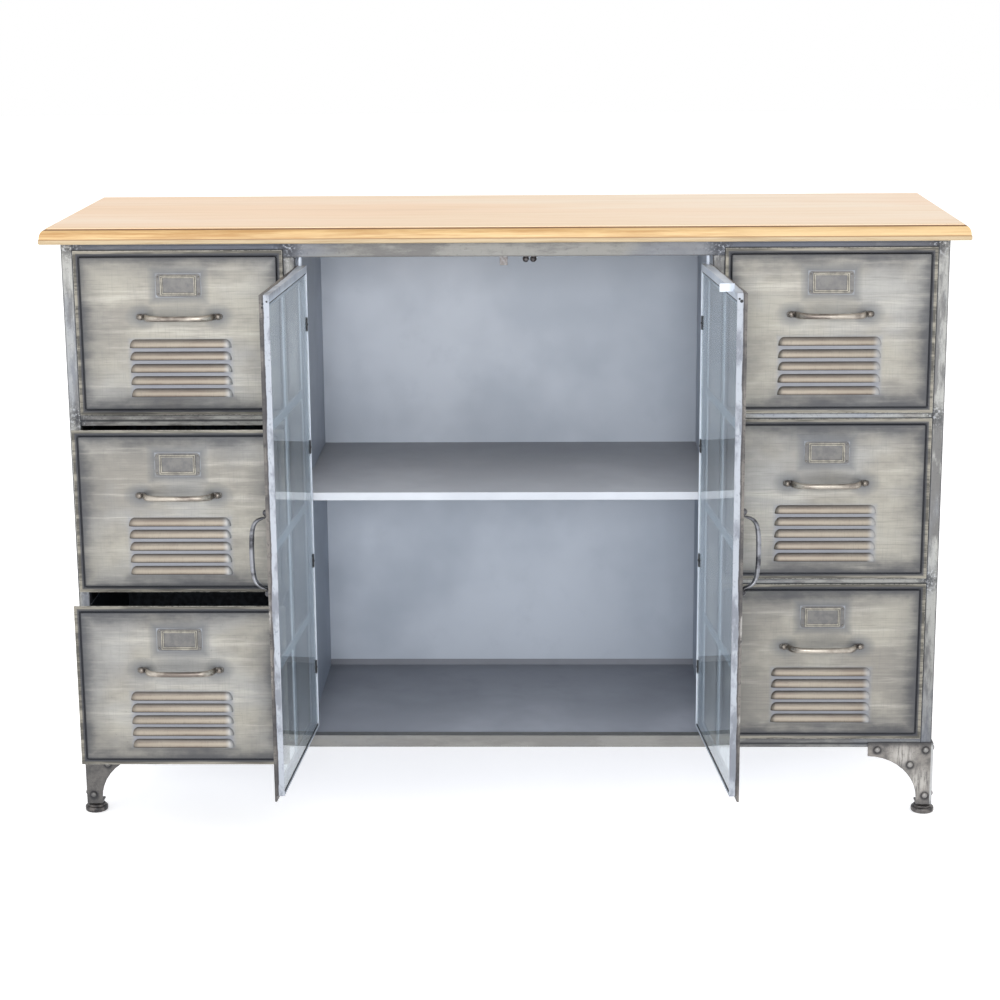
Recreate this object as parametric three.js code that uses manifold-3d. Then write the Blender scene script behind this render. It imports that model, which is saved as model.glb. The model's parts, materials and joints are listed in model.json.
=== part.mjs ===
// A metal sideboard with a wooden top: three drawers in a column at each side, and between them
// a compartment with a shelf behind two framed glass doors.
// Millimetres, +Z up. The front looks along -Y and +X is to the right of someone facing it.
// The doors stand open and two drawers of the left column are pulled out: that is the rest pose.
import * as THREE from 'three';
import { mergeVertices } from 'three/addons/utils/BufferGeometryUtils.js';
import Module from 'manifold-3d';

const wasm = await Module();
wasm.setup();

// ---- driving dimensions ---------------------------------------------------------------------
const BODY_WIDTH = 1300;
const BODY_DEPTH = 402;
const BODY_HEIGHT = 781;
const FOOT_HEIGHT = 106;

// wooden top
const TOP_THICKNESS = 23;
const TOP_SIDE_OVERHANG = 25;
const TOP_FRONT_OVERHANG = 35;
const TOP_BACK_OVERHANG = 13;
const TOP_MOULD_WIDTH = 10;
const TOP_QUIRK = 2;
const TOP_BAND = 6.5;
const TOP_BAND_ROUND = 1.5;
const TOP_BEAD = 1;
const TOP_OVOLO_STEPS = 6;

// steel frame
const POST = 17;
const TUBE_WALL = 1.5;
const OPENING_WIDTH = 613;
const TOP_RAIL_HEIGHT = 24;
const BOTTOM_RAIL_HEIGHT = 18.5;
const SHEET = 1.2;
const SIDE_RECESS = 3;
const BACK_RAIL_HEIGHT = 30;

// shelf and floor of the middle compartment
const SHELF_RISE = 398;
const SHELF_LIP = 12;
const SHELF_SETBACK = 3;
const FLOOR_RISE = 11;
const FLOOR_LIP = 10;

// drawers
const ROWS = 3;
const FRONT_TOP_MARGIN = 13;
const FRONT_BOTTOM_MARGIN = 14.5;
const FRONT_GAP = 8.5;
const FRONT_SIDE_GAP = 0.5;
const FRONT_CLEARANCE = 0.3;
const RAIL_LAP = 8;
const FRONT_SHEET = 2;
const FRONT_RIM = 7;
const FRONT_FIELD = 1.5;
const BOX_SIDE_GAP = 12;
const BOX_TOP_DROP = 16;
const BOX_BOTTOM_RISE = 11;
const BOX_BACK_GAP = 32;
const BOX_WALL = 1.2;
const RUNNER_WIDTH = 20;
const RUNNER_CLEARANCE = 0.5;
// how far each drawer stands open, from the top row down
const DRAWER_OPEN = { left: [0, 70, 116], right: [0, 0, 0] };

// louvres pressed into each drawer front
const LOUVRES = 5;
const LOUVRE_LENGTH = 151;
const LOUVRE_COVER = 0.68;
const LOUVRE_DEPTH = 5;
const LOUVRE_ROOT = 1;
const LOUVRE_STEPS = 4;
const LOUVRE_DROP = 131;
const LOUVRE_BOTTOM_MARGIN = 28.4;

// label holders
const LABEL_WIDTH = 66;
const LABEL_HEIGHT = 34;
const LABEL_FRAME_WIDTH = 54;
const LABEL_FRAME_HEIGHT = 30;
const LABEL_RIM = 4.5;
const LABEL_SHEET = 0.8;
const LABEL_PROUD = 2;
const LABEL_DROP = 34;

// pull handles, the same on drawers and doors
const HANDLE_LENGTH = 129;
const HANDLE_REACH = 27;
const HANDLE_BAR = 3.6;
const HANDLE_BOW = [[0.9, 0.5], [0.68, 0.82]];
const HANDLE_STEPS = 18;
const HANDLE_FOOT = 15;
const HANDLE_FOOT_WIDTH = 12;
const HANDLE_FOOT_SHEET = 2.5;
const HANDLE_ROOT = 1;
const RIVET_RADIUS = 3.6;
const RIVET_PROUD = 1;
const HANDLE_DROP = 97.5;

// doors
const DOOR_BOTTOM_GAP = 4;
const DOOR_TOP_GAP = 13;
const DOOR_MEETING_GAP = 1.5;
const DOOR_THICKNESS = 14;
const DOOR_WALL = 2.5;
const DOOR_STILE = 22;
const DOOR_FACE = 3;
const DOOR_LIP = 8.8;
const DOOR_TOP_WALL = 10.5;
const MUNTIN = 13;
const PANES_ACROSS = 2;
const PANES_DOWN = 4;
const GLASS_THICKNESS = 4;
const GLASS_GAP = 0.3;
const GLASS_SEAT = 6;
const GLASS_RECESS = 1.5;
const PIVOT_INSET = 7.5;
const PIVOT_TO_EDGE = 5;
const PIVOT_TO_FACE = 5;
const PIVOT_RADIUS = 3;
const PIVOT_CLEARANCE = 0.5;
const PIVOT_BITE = 8;
const PIVOT_END_GAP = 1;
const DOOR_OPEN = { left: 93.5, right: 95.5 };

// catch and stop under the top rail, and the strike tongue on the right door
const CATCH_X = 38;
const CATCH_Y = 17;
const BALL_RADIUS = 4.5;
const BALL_PITCH = 11.5;
const CATCH_PLATE = 2;
const CATCH_MARGIN = 1;
const STOP_WIDTH = 11.5;
const STOP_HEIGHT = 15;
const STOP_SHEET = 2;
const STRIKE_SHEET = 1.5;
const STRIKE_LENGTH = 18;
const STRIKE_RISE = 8;
const STRIKE_ROOT = 3;

// feet
const BRACKET_LENGTH = 100;
const BRACKET_LEG = 24;
const BRACKET_SHEET = 3;
const BRACKET_LAP = 8;
const BRACKET_NOSE = 22;
const BRACKET_TOE = 8;
const BRACKET_STEPS = 10;
const PAD_RADIUS = 17.5;
const PAD_HEIGHT = 9;
const PAD_EDGE = 1;
const PAD_SHOULDER = 3;
const PAD_STEM_RADIUS = 6;
const PAD_STEM = 5;

// ---- derived places -------------------------------------------------------------------------
const bodyBottom = FOOT_HEIGHT;
const bodyTop = bodyBottom + BODY_HEIGHT;
const halfBody = BODY_WIDTH / 2;
const halfOpening = OPENING_WIDTH / 2;
const innerPostOuter = halfOpening + POST;
const sideSkin = halfBody - SIDE_RECESS;
const sideInner = sideSkin - SHEET;
const partitionFace = halfOpening + SHEET;
const backFace = BODY_DEPTH - POST - SHEET;
const openingBottom = bodyBottom + BOTTOM_RAIL_HEIGHT;
const openingTop = bodyTop - TOP_RAIL_HEIGHT;
const floorTop = bodyBottom + FLOOR_RISE;
const shelfTop = bodyBottom + SHELF_RISE;
const frontHeight = (BODY_HEIGHT - FRONT_TOP_MARGIN - FRONT_BOTTOM_MARGIN - (ROWS - 1) * FRONT_GAP) / ROWS;
const frontWidth = halfBody - POST - innerPostOuter - 2 * FRONT_SIDE_GAP;
const columnCentre = (halfBody - POST + innerPostOuter) / 2;
const boxWidth = frontWidth + 2 * FRONT_SIDE_GAP - 2 * BOX_SIDE_GAP;
const boxLength = backFace - BOX_BACK_GAP;
const boxHeight = frontHeight - BOX_TOP_DROP - BOX_BOTTOM_RISE;
const louvreZone = frontHeight - LOUVRE_DROP - LOUVRE_BOTTOM_MARGIN;
const louvrePitch = louvreZone / (LOUVRES - 1 + LOUVRE_COVER);
const louvreHeight = louvrePitch * LOUVRE_COVER;
const bracketSole = PAD_HEIGHT + PAD_STEM;
const doorHeight = openingTop - openingBottom - DOOR_BOTTOM_GAP - DOOR_TOP_GAP;
const doorWidth = halfOpening - PIVOT_INSET + PIVOT_TO_EDGE - DOOR_MEETING_GAP / 2;
const glassDepth = DOOR_THICKNESS - GLASS_RECESS - GLASS_THICKNESS;
const frontBottom = (row) => bodyTop - FRONT_TOP_MARGIN - frontHeight - row * (frontHeight + FRONT_GAP);

// ---- materials ------------------------------------------------------------------------------
function finish(color, roughness, metalness) {
  return new THREE.MeshStandardMaterial({ color, roughness, metalness });
}
const zinc = finish(0x9b9b96, 0.45, 0.85);
const darkZinc = finish(0x77787a, 0.5, 0.85);
const paint = finish(0x87909c, 0.6, 0.1);
const paleWood = finish(0xeed9b8, 0.55, 0);
const palePaint = finish(0xdfe8ee, 0.5, 0.2);
const bronze = finish(0x8f8578, 0.4, 0.9);
const pane = finish(0xc8d4da, 0.05, 0);

// ---- helpers --------------------------------------------------------------------------------
// A solid from a closed geometry, placed by an optional offset.
function solid(geometry, x = 0, y = 0, z = 0) {
  const bare = geometry.index ? geometry.toNonIndexed() : geometry.clone();
  bare.deleteAttribute('normal');
  bare.deleteAttribute('uv');
  bare.clearGroups();
  bare.translate(x, y, z);
  const merged = mergeVertices(bare, 1e-4);
  return new wasm.Manifold(new wasm.Mesh({
    numProp: 3,
    vertProperties: new Float32Array(merged.attributes.position.array),
    triVerts: new Uint32Array(merged.index.array),
  }));
}

// A geometry from a solid.
function geometryOf(manifold) {
  const mesh = manifold.getMesh();
  const geometry = new THREE.BufferGeometry();
  geometry.setAttribute('position', new THREE.BufferAttribute(new Float32Array(mesh.vertProperties), 3));
  geometry.setIndex(new THREE.BufferAttribute(new Uint32Array(mesh.triVerts), 1));
  return geometry;
}

// A box given by its lowest and highest corners.
function boxBetween(x0, y0, z0, x1, y1, z1) {
  const box = new THREE.BoxGeometry(x1 - x0, y1 - y0, z1 - z0);
  box.translate((x0 + x1) / 2, (y0 + y1) / 2, (z0 + z1) / 2);
  return box;
}

// An extruded outline, laid so that each of its two ends is exactly on its plane.
function extruded(outline, depth, place) {
  const geometry = new THREE.ExtrudeGeometry(outline, { depth, bevelEnabled: false, curveSegments: 8 });
  const position = geometry.attributes.position;
  for (let i = 0; i < position.count; i += 1) {
    const far = position.getZ(i) > depth / 2;
    position.setXYZ(i, ...place(position.getX(i), position.getY(i), far));
  }
  geometry.computeVertexNormals();
  return geometry;
}

// An outline in (x, z), extruded along +Y from y0 by depth.
function extrudeY(outline, y0, depth) {
  return extruded(outline, depth, (x, z, far) => [x, far ? y0 : y0 + depth, z]);
}

// An outline in (y, z), extruded along +X from x0 by length.
function extrudeX(outline, x0, length) {
  return extruded(outline, length, (y, z, far) => [far ? x0 + length : x0, y, z]);
}

function rectangle(x0, z0, x1, z1) {
  const outline = new THREE.Shape();
  outline.moveTo(x0, z0);
  outline.lineTo(x1, z0);
  outline.lineTo(x1, z1);
  outline.lineTo(x0, z1);
  outline.closePath();
  return outline;
}

// The section of a tube: a rectangle with the tube's wall all round.
function tubeSection(a0, b0, a1, b1) {
  const section = rectangle(a0, b0, a1, b1);
  section.holes.push(rectangle(a0 + TUBE_WALL, b0 + TUBE_WALL, a1 - TUBE_WALL, b1 - TUBE_WALL));
  return section;
}

function polygon(points) {
  return new THREE.Shape(points.map(([a, b]) => new THREE.Vector2(a, b)));
}

function piece(group, name, geometry, material) {
  const mesh = new THREE.Mesh(geometry, material);
  mesh.name = name;
  group.add(mesh);
  return mesh;
}

// ---- wooden top -----------------------------------------------------------------------------
// The moulded edge, from the underside up: a rounded band, a bead and an ovolo, then a small quirk
// under the flat top. Each point is [distance in from the outermost edge, height].
function mouldedEdge() {
  const ovoloTop = TOP_THICKNESS - TOP_QUIRK;
  const ovoloBottom = TOP_BAND + TOP_BEAD;
  const points = [[TOP_BAND_ROUND, 0], [0, TOP_BAND_ROUND], [0, TOP_BAND], [TOP_BEAD, ovoloBottom]];
  for (let i = 1; i <= TOP_OVOLO_STEPS; i += 1) {
    const angle = (i / TOP_OVOLO_STEPS) * (Math.PI / 2);
    points.push([
      TOP_BEAD + (TOP_MOULD_WIDTH - 2 * TOP_BEAD) * (1 - Math.cos(angle)),
      ovoloBottom + (ovoloTop - ovoloBottom) * Math.sin(angle),
    ]);
  }
  points.push([TOP_MOULD_WIDTH, ovoloTop], [TOP_MOULD_WIDTH, TOP_THICKNESS]);
  return points;
}

function woodTop() {
  const edge = mouldedEdge();
  const half = halfBody + TOP_SIDE_OVERHANG;
  const back = BODY_DEPTH + TOP_BACK_OVERHANG;
  const across = [
    ...edge.map(([inset, z]) => [half - inset, z]),
    ...edge.map(([inset, z]) => [-half + inset, z]).reverse(),
  ];
  const along = [[back, 0], [back, TOP_THICKNESS],
    ...edge.map(([inset, z]) => [-TOP_FRONT_OVERHANG + inset, z]).reverse()];
  const sides = extrudeY(polygon(across), -TOP_FRONT_OVERHANG, back + TOP_FRONT_OVERHANG);
  const front = extrudeX(polygon(along), -half, 2 * half);
  return geometryOf(solid(sides, 0, 0, bodyTop).intersect(solid(front, 0, 0, bodyTop)));
}

// ---- frame ----------------------------------------------------------------------------------
// A pivot hole for a door pin, in a rail, centred on the pin's axis.
function pivotHole(side, z0, z1) {
  const radius = PIVOT_RADIUS + PIVOT_CLEARANCE;
  const hole = new THREE.CylinderGeometry(radius, radius, z1 - z0, 16);
  hole.rotateX(Math.PI / 2);
  return solid(hole, side * (halfOpening - PIVOT_INSET), PIVOT_TO_FACE, (z0 + z1) / 2);
}

// A square tube standing on end.
function post(x0, y0, z0, z1) {
  const section = tubeSection(x0, y0, x0 + POST, y0 + POST);
  const tube = new THREE.ExtrudeGeometry(section, { depth: z1 - z0, bevelEnabled: false });
  tube.translate(0, 0, z0);
  return tube;
}

function frontRail(z0, z1, holeBottom, holeTop) {
  const bar = solid(extrudeX(tubeSection(0, z0, POST, z1), -halfBody + POST, BODY_WIDTH - 2 * POST));
  return geometryOf([-1, 1].reduce((rail, side) => rail.subtract(pivotHole(side, holeBottom, holeTop)), bar));
}

function buildFrame(group) {
  const xOuter = halfBody - POST;
  for (const [sideName, side] of [['left', -1], ['right', 1]]) {
    const x0 = side < 0 ? -halfBody : xOuter;
    piece(group, `corner_post_front_${sideName}`, post(x0, 0, bodyBottom, bodyTop), zinc);
    piece(group, `corner_post_back_${sideName}`, post(x0, BODY_DEPTH - POST, bodyBottom, bodyTop), zinc);
    const c0 = side < 0 ? -innerPostOuter : halfOpening;
    piece(group, `centre_post_${sideName}`, post(c0, 0, openingBottom, openingTop), zinc);
    const r0 = side < 0 ? -xOuter : innerPostOuter;
    for (let row = 0; row < ROWS - 1; row += 1) {
      const gapBottom = frontBottom(row) - FRONT_GAP;
      const section = tubeSection(0, gapBottom - RAIL_LAP, POST, gapBottom + FRONT_GAP + RAIL_LAP);
      piece(group, `drawer_rail_${sideName}_${row + 1}`, extrudeX(section, r0, xOuter - innerPostOuter), zinc);
    }
  }
  piece(group, 'front_rail_top',
    frontRail(openingTop, bodyTop, openingTop - PIVOT_END_GAP, openingTop + PIVOT_BITE), zinc);
  piece(group, 'front_rail_bottom',
    frontRail(bodyBottom, openingBottom, openingBottom - PIVOT_BITE, openingBottom + PIVOT_END_GAP), zinc);
}

// A wall panel with a drawer runner on it for each row, as one section extruded from front to back.
// sheet is the panel's face away from the drawers and into is +1 when the drawers lie towards +X.
function runnerPanel(sheet, into, z0, z1) {
  const face = sheet + into * SHEET;
  const tip = face + into * (BOX_SIDE_GAP + RUNNER_WIDTH - SHEET);
  const section = [[sheet, z1], [sheet, z0], [face, z0]];
  for (let row = ROWS - 1; row >= 0; row -= 1) {
    const runnerTop = frontBottom(row) + BOX_BOTTOM_RISE - RUNNER_CLEARANCE;
    section.push([face, runnerTop - SHEET], [tip, runnerTop - SHEET], [tip, runnerTop], [face, runnerTop]);
  }
  section.push([face, z1]);
  return extrudeY(polygon(section), POST, backFace - POST);
}

function buildPanels(group) {
  for (const [sideName, side] of [['left', -1], ['right', 1]]) {
    piece(group, `side_panel_${sideName}`, runnerPanel(side * sideSkin, -side, bodyBottom, bodyTop), zinc);
    piece(group, `partition_${sideName}`, runnerPanel(side * partitionFace, side, floorTop, bodyTop), paint);
  }
  const back = solid(boxBetween(-sideSkin, backFace, bodyBottom, sideSkin, backFace + SHEET, bodyTop));
  const rails = [bodyBottom, bodyTop - BACK_RAIL_HEIGHT].map((z) => solid(extrudeX(
    tubeSection(backFace + SHEET / 2, z, BODY_DEPTH - SHEET, z + BACK_RAIL_HEIGHT),
    -halfBody + POST,
    BODY_WIDTH - 2 * POST,
  )));
  piece(group, 'back_panel', geometryOf(rails.reduce((whole, rail) => whole.add(rail), back)), paint);

  const floor = solid(boxBetween(-sideInner, POST, floorTop - SHEET, sideInner, backFace, floorTop));
  const lip = solid(boxBetween(-partitionFace, backFace - SHEET, floorTop - SHEET / 2,
    partitionFace, backFace, floorTop + FLOOR_LIP));
  piece(group, 'floor_panel', geometryOf(floor.add(lip)), paint);

  const front = POST + SHELF_SETBACK;
  const under = shelfTop - SHELF_LIP;
  piece(group, 'shelf', extrudeX(polygon([
    [front, shelfTop], [front, under], [front + SHEET, under], [front + SHEET, shelfTop - SHEET],
    [backFace - SHEET, shelfTop - SHEET], [backFace - SHEET, under], [backFace, under], [backFace, shelfTop],
  ]), -partitionFace, 2 * partitionFace), palePaint);
}

// ---- feet -----------------------------------------------------------------------------------
// One wing of a foot bracket: a leg with a concave quarter-round brace. u runs inwards from the
// outer corner and z up.
function bracketWing(side) {
  const top = bodyBottom + BRACKET_LAP;
  const brace = top - BRACKET_NOSE;
  const curveAcross = BRACKET_LENGTH - BRACKET_LEG;
  const curveDown = brace - bracketSole - BRACKET_TOE;
  const outline = new THREE.Shape();
  const at = (u, z) => [side * -u, z];
  outline.moveTo(...at(0, bracketSole));
  outline.lineTo(...at(0, top));
  outline.lineTo(...at(BRACKET_LENGTH, top));
  outline.lineTo(...at(BRACKET_LENGTH, brace));
  for (let i = 1; i <= BRACKET_STEPS; i += 1) {
    const angle = (i / BRACKET_STEPS) * (Math.PI / 2);
    const u = BRACKET_LENGTH - curveAcross * Math.sin(angle);
    outline.lineTo(...at(u, brace - curveDown * (1 - Math.cos(angle))));
  }
  outline.lineTo(...at(BRACKET_LEG, bracketSole));
  outline.closePath();
  return outline;
}

function footBracket(side, facing) {
  const corner = side * (halfBody + BRACKET_SHEET);
  const face = facing < 0 ? -BRACKET_SHEET : BODY_DEPTH;
  const front = solid(extrudeY(bracketWing(side), face, BRACKET_SHEET), corner, 0, 0);
  const outer = side < 0 ? corner : corner - BRACKET_SHEET;
  const edge = facing < 0 ? -BRACKET_SHEET : BODY_DEPTH + BRACKET_SHEET;
  const wing = solid(extrudeX(bracketWing(facing), 0, BRACKET_SHEET), outer, edge, 0);
  const x1 = corner - side * BRACKET_LEG;
  const y1 = edge - facing * BRACKET_LEG;
  const sole = solid(boxBetween(Math.min(corner, x1), Math.min(edge, y1), bracketSole,
    Math.max(corner, x1), Math.max(edge, y1), bracketSole + BRACKET_SHEET));
  return geometryOf(front.add(wing).add(sole));
}

function footPad() {
  const profile = [
    [0, 0], [PAD_RADIUS - PAD_EDGE, 0], [PAD_RADIUS, PAD_EDGE],
    [PAD_RADIUS, PAD_HEIGHT - PAD_SHOULDER], [PAD_RADIUS - PAD_SHOULDER, PAD_HEIGHT],
    [PAD_STEM_RADIUS, PAD_HEIGHT], [PAD_STEM_RADIUS, bracketSole], [0, bracketSole],
  ];
  const lathe = new THREE.LatheGeometry(profile.map(([r, z]) => new THREE.Vector2(r, z)), 24);
  lathe.rotateX(Math.PI / 2);
  return lathe;
}

function buildFeet(group) {
  for (const [endName, facing] of [['front', -1], ['back', 1]]) {
    for (const [sideName, side] of [['left', -1], ['right', 1]]) {
      piece(group, `foot_bracket_${endName}_${sideName}`, footBracket(side, facing), zinc);
      const pad = piece(group, `foot_pad_${endName}_${sideName}`, footPad(), darkZinc);
      const inset = BRACKET_LEG / 2 - BRACKET_SHEET;
      pad.position.set(side * (halfBody - inset), facing < 0 ? inset : BODY_DEPTH - inset, 0);
    }
  }
}

// ---- handles --------------------------------------------------------------------------------
// A bowed pull with flat riveted feet: it runs along X, stands out along -Y, and its feet lie on y = 0.
function handleGeometry() {
  const half = HANDLE_LENGTH / 2;
  const start = half - HANDLE_FOOT;
  const bow = HANDLE_BOW.map(([along, out]) => [start * along, -HANDLE_REACH * out]);
  const rise = [[start, -HANDLE_ROOT], ...bow];
  const spine = new THREE.CatmullRomCurve3([
    ...rise.map(([x, y]) => [-x, y]), [0, -HANDLE_REACH + HANDLE_BAR], ...rise.reverse(),
  ].map(([x, y]) => new THREE.Vector3(x, y, 0)));
  const section = new THREE.Shape();
  section.absarc(0, 0, HANDLE_BAR, 0, Math.PI * 2);
  const path = { steps: HANDLE_STEPS, extrudePath: spine, curveSegments: 4 };
  let whole = solid(new THREE.ExtrudeGeometry(section, path));
  for (const side of [-1, 1]) {
    const x0 = side < 0 ? -half : start - HANDLE_BAR;
    whole = whole.add(solid(boxBetween(x0, -HANDLE_FOOT_SHEET, -HANDLE_FOOT_WIDTH / 2,
      x0 + HANDLE_FOOT + HANDLE_BAR, 0, HANDLE_FOOT_WIDTH / 2)));
    const rivet = new THREE.SphereGeometry(RIVET_RADIUS, 10, 8);
    whole = whole.add(solid(rivet, side * (half - HANDLE_FOOT / 2), -HANDLE_FOOT_SHEET - RIVET_PROUD, 0));
  }
  const behind = solid(boxBetween(-half, 0, -HANDLE_FOOT, half, HANDLE_FOOT, HANDLE_FOOT));
  return geometryOf(whole.subtract(behind));
}

// ---- drawers --------------------------------------------------------------------------------
// A pressed louvre hood: flush at its top, standing out at its open lower edge.
function louvreHood(zBottom) {
  const length = LOUVRE_LENGTH;
  const crown = [];
  for (let i = 0; i <= LOUVRE_STEPS; i += 1) {
    const angle = (i / LOUVRE_STEPS) * (Math.PI / 2);
    crown.push([-LOUVRE_DEPTH * Math.cos(angle), louvreHeight * Math.sin(angle)]);
  }
  const hood = solid(extrudeX(polygon([
    [LOUVRE_ROOT, 0], ...crown, [LOUVRE_ROOT, louvreHeight],
  ]), -length / 2, length));
  const plan = solid(new THREE.ExtrudeGeometry(polygon([
    [-length / 2, LOUVRE_ROOT], [-length / 2, 0], [-length / 2 + LOUVRE_DEPTH, -LOUVRE_DEPTH],
    [length / 2 - LOUVRE_DEPTH, -LOUVRE_DEPTH], [length / 2, 0], [length / 2, LOUVRE_ROOT],
  ]), { depth: louvreHeight, bevelEnabled: false }));
  return hood.intersect(plan).translate([0, -FRONT_SHEET - FRONT_FIELD, zBottom]);
}

// The front sheet: a flat rim that laps the rails, a raised field and its louvres. Its back face is
// y = 0 and its lower edge z = 0.
function drawerFront() {
  const half = frontWidth / 2;
  let whole = solid(boxBetween(-half, -FRONT_SHEET, 0, half, 0, frontHeight));
  whole = whole.add(solid(boxBetween(-half + FRONT_RIM, -FRONT_SHEET - FRONT_FIELD, FRONT_RIM,
    half - FRONT_RIM, -FRONT_SHEET / 2, frontHeight - FRONT_RIM)));
  for (let i = 0; i < LOUVRES; i += 1) {
    whole = whole.add(louvreHood(LOUVRE_BOTTOM_MARGIN + i * louvrePitch));
  }
  return geometryOf(whole);
}

// An open tray whose front wall stands against the back of the front sheet.
function drawerBox() {
  const half = boxWidth / 2;
  const outer = solid(boxBetween(-half, 0, BOX_BOTTOM_RISE, half, boxLength, BOX_BOTTOM_RISE + boxHeight));
  const inner = solid(boxBetween(-half + BOX_WALL, BOX_WALL, BOX_BOTTOM_RISE + BOX_WALL,
    half - BOX_WALL, boxLength - BOX_WALL, frontHeight));
  return geometryOf(outer.subtract(inner));
}

function labelHolder() {
  const half = LABEL_WIDTH / 2;
  const frameHalf = LABEL_FRAME_WIDTH / 2;
  const margin = (LABEL_HEIGHT - LABEL_FRAME_HEIGHT) / 2;
  const window = rectangle(-frameHalf + LABEL_RIM, margin + LABEL_RIM, frameHalf - LABEL_RIM,
    LABEL_HEIGHT - margin - LABEL_RIM);
  const plate = rectangle(-half, 0, half, LABEL_HEIGHT);
  plate.holes.push(window);
  const frame = rectangle(-frameHalf, margin, frameHalf, LABEL_HEIGHT - margin);
  frame.holes.push(window);
  return geometryOf(solid(extrudeY(plate, -LABEL_SHEET, LABEL_SHEET))
    .add(solid(extrudeY(frame, -LABEL_PROUD, LABEL_PROUD))));
}

function buildDrawer(sideName, side, row) {
  const drawer = new THREE.Group();
  const label = `drawer_${sideName}_${row + 1}`;
  const field = -FRONT_SHEET - FRONT_FIELD;
  drawer.position.set(side * columnCentre, -FRONT_CLEARANCE - DRAWER_OPEN[sideName][row], frontBottom(row));
  piece(drawer, `${label}_front`, drawerFront(), zinc);
  piece(drawer, `${label}_box`, drawerBox(), paint);
  piece(drawer, `${label}_label_holder`, labelHolder(), bronze)
    .position.set(0, field, frontHeight - LABEL_DROP - LABEL_HEIGHT);
  piece(drawer, `${label}_handle`, handleGeometry(), bronze)
    .position.set(0, field, frontHeight - HANDLE_DROP);
  return drawer;
}

// ---- doors ----------------------------------------------------------------------------------
// Each door is drawn closed about its own pivot: x runs from the pivot towards the meeting edge,
// times reach (+1 on the left door, -1 on the right), y into the cabinet and z up from its lower edge.
function doorFrame(reach) {
  const x0 = Math.min(-PIVOT_TO_EDGE * reach, (doorWidth - PIVOT_TO_EDGE) * reach);
  const x1 = x0 + doorWidth;
  const face = rectangle(x0, 0, x1, doorHeight);
  face.holes.push(rectangle(x0 + DOOR_STILE, DOOR_STILE, x1 - DOOR_STILE, doorHeight - DOOR_STILE));
  const ring = rectangle(x0, DOOR_LIP, x1, doorHeight);
  ring.holes.push(rectangle(x0 + DOOR_WALL, DOOR_LIP + DOOR_WALL, x1 - DOOR_WALL,
    doorHeight - DOOR_TOP_WALL));
  const seat = rectangle(x0, DOOR_LIP, x1, doorHeight);
  const seatInset = DOOR_WALL + GLASS_SEAT;
  seat.holes.push(rectangle(x0 + seatInset, DOOR_LIP + seatInset, x1 - seatInset,
    doorHeight - DOOR_TOP_WALL - GLASS_SEAT));
  let whole = solid(extrudeY(face, -PIVOT_TO_FACE, DOOR_FACE));
  whole = whole.add(solid(extrudeY(ring, -PIVOT_TO_FACE, DOOR_THICKNESS)));
  whole = whole.add(solid(extrudeY(seat, -PIVOT_TO_FACE, glassDepth - GLASS_GAP)));
  const paneWidth = (doorWidth - 2 * DOOR_STILE - (PANES_ACROSS - 1) * MUNTIN) / PANES_ACROSS;
  const paneHeight = (doorHeight - 2 * DOOR_STILE - (PANES_DOWN - 1) * MUNTIN) / PANES_DOWN;
  const y0 = -PIVOT_TO_FACE;
  for (let i = 1; i < PANES_ACROSS; i += 1) {
    const x = x0 + DOOR_STILE - MUNTIN + i * (paneWidth + MUNTIN);
    whole = whole.add(solid(boxBetween(x, y0, DOOR_STILE / 2, x + MUNTIN, y0 + DOOR_FACE,
      doorHeight - DOOR_STILE / 2)));
  }
  for (let j = 1; j < PANES_DOWN; j += 1) {
    const z = DOOR_STILE - MUNTIN + j * (paneHeight + MUNTIN);
    whole = whole.add(solid(boxBetween(x0 + DOOR_STILE / 2, y0, z, x1 - DOOR_STILE / 2, y0 + DOOR_FACE,
      z + MUNTIN)));
  }
  const pins = [
    [-DOOR_BOTTOM_GAP - PIVOT_BITE + PIVOT_END_GAP, DOOR_LIP + DOOR_WALL / 2],
    [doorHeight - DOOR_WALL / 2, doorHeight + DOOR_TOP_GAP + PIVOT_BITE - PIVOT_END_GAP],
  ];
  for (const [z0, z1] of pins) {
    const pin = new THREE.CylinderGeometry(PIVOT_RADIUS, PIVOT_RADIUS, z1 - z0, 16);
    pin.rotateX(Math.PI / 2);
    whole = whole.add(solid(pin, 0, 0, (z0 + z1) / 2));
  }
  return whole;
}

// The tongue on the right door that runs between the two balls of the catch.
function strike() {
  const x = halfOpening - PIVOT_INSET - CATCH_X;
  const half = STRIKE_SHEET / 2;
  const back = DOOR_THICKNESS - PIVOT_TO_FACE;
  return solid(boxBetween(-x - half, back - DOOR_WALL, doorHeight - STRIKE_ROOT,
    -x + half, back + STRIKE_LENGTH, doorHeight + STRIKE_RISE));
}

function buildDoor(sideName, reach) {
  const door = new THREE.Group();
  const frame = doorFrame(reach);
  door.position.set(-reach * (halfOpening - PIVOT_INSET), PIVOT_TO_FACE, openingBottom + DOOR_BOTTOM_GAP);
  door.rotation.z = THREE.MathUtils.degToRad(-reach * DOOR_OPEN[sideName]);
  piece(door, `door_${sideName}_frame`, geometryOf(reach < 0 ? frame.add(strike()) : frame), zinc);

  const inset = DOOR_WALL + GLASS_GAP;
  const x0 = Math.min(-PIVOT_TO_EDGE * reach, (doorWidth - PIVOT_TO_EDGE) * reach);
  const glassFace = -PIVOT_TO_FACE + glassDepth;
  piece(door, `door_${sideName}_glass`, boxBetween(x0 + inset, glassFace, DOOR_LIP + inset,
    x0 + doorWidth - inset, glassFace + GLASS_THICKNESS, doorHeight - DOOR_TOP_WALL - GLASS_GAP), pane);

  const handle = piece(door, `door_${sideName}_handle`, handleGeometry(), bronze);
  handle.rotation.y = Math.PI / 2;
  handle.position.set(reach * (doorWidth - PIVOT_TO_EDGE - DOOR_STILE / 2), -PIVOT_TO_FACE - GLASS_GAP,
    doorHeight / 2);
  return door;
}

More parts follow.
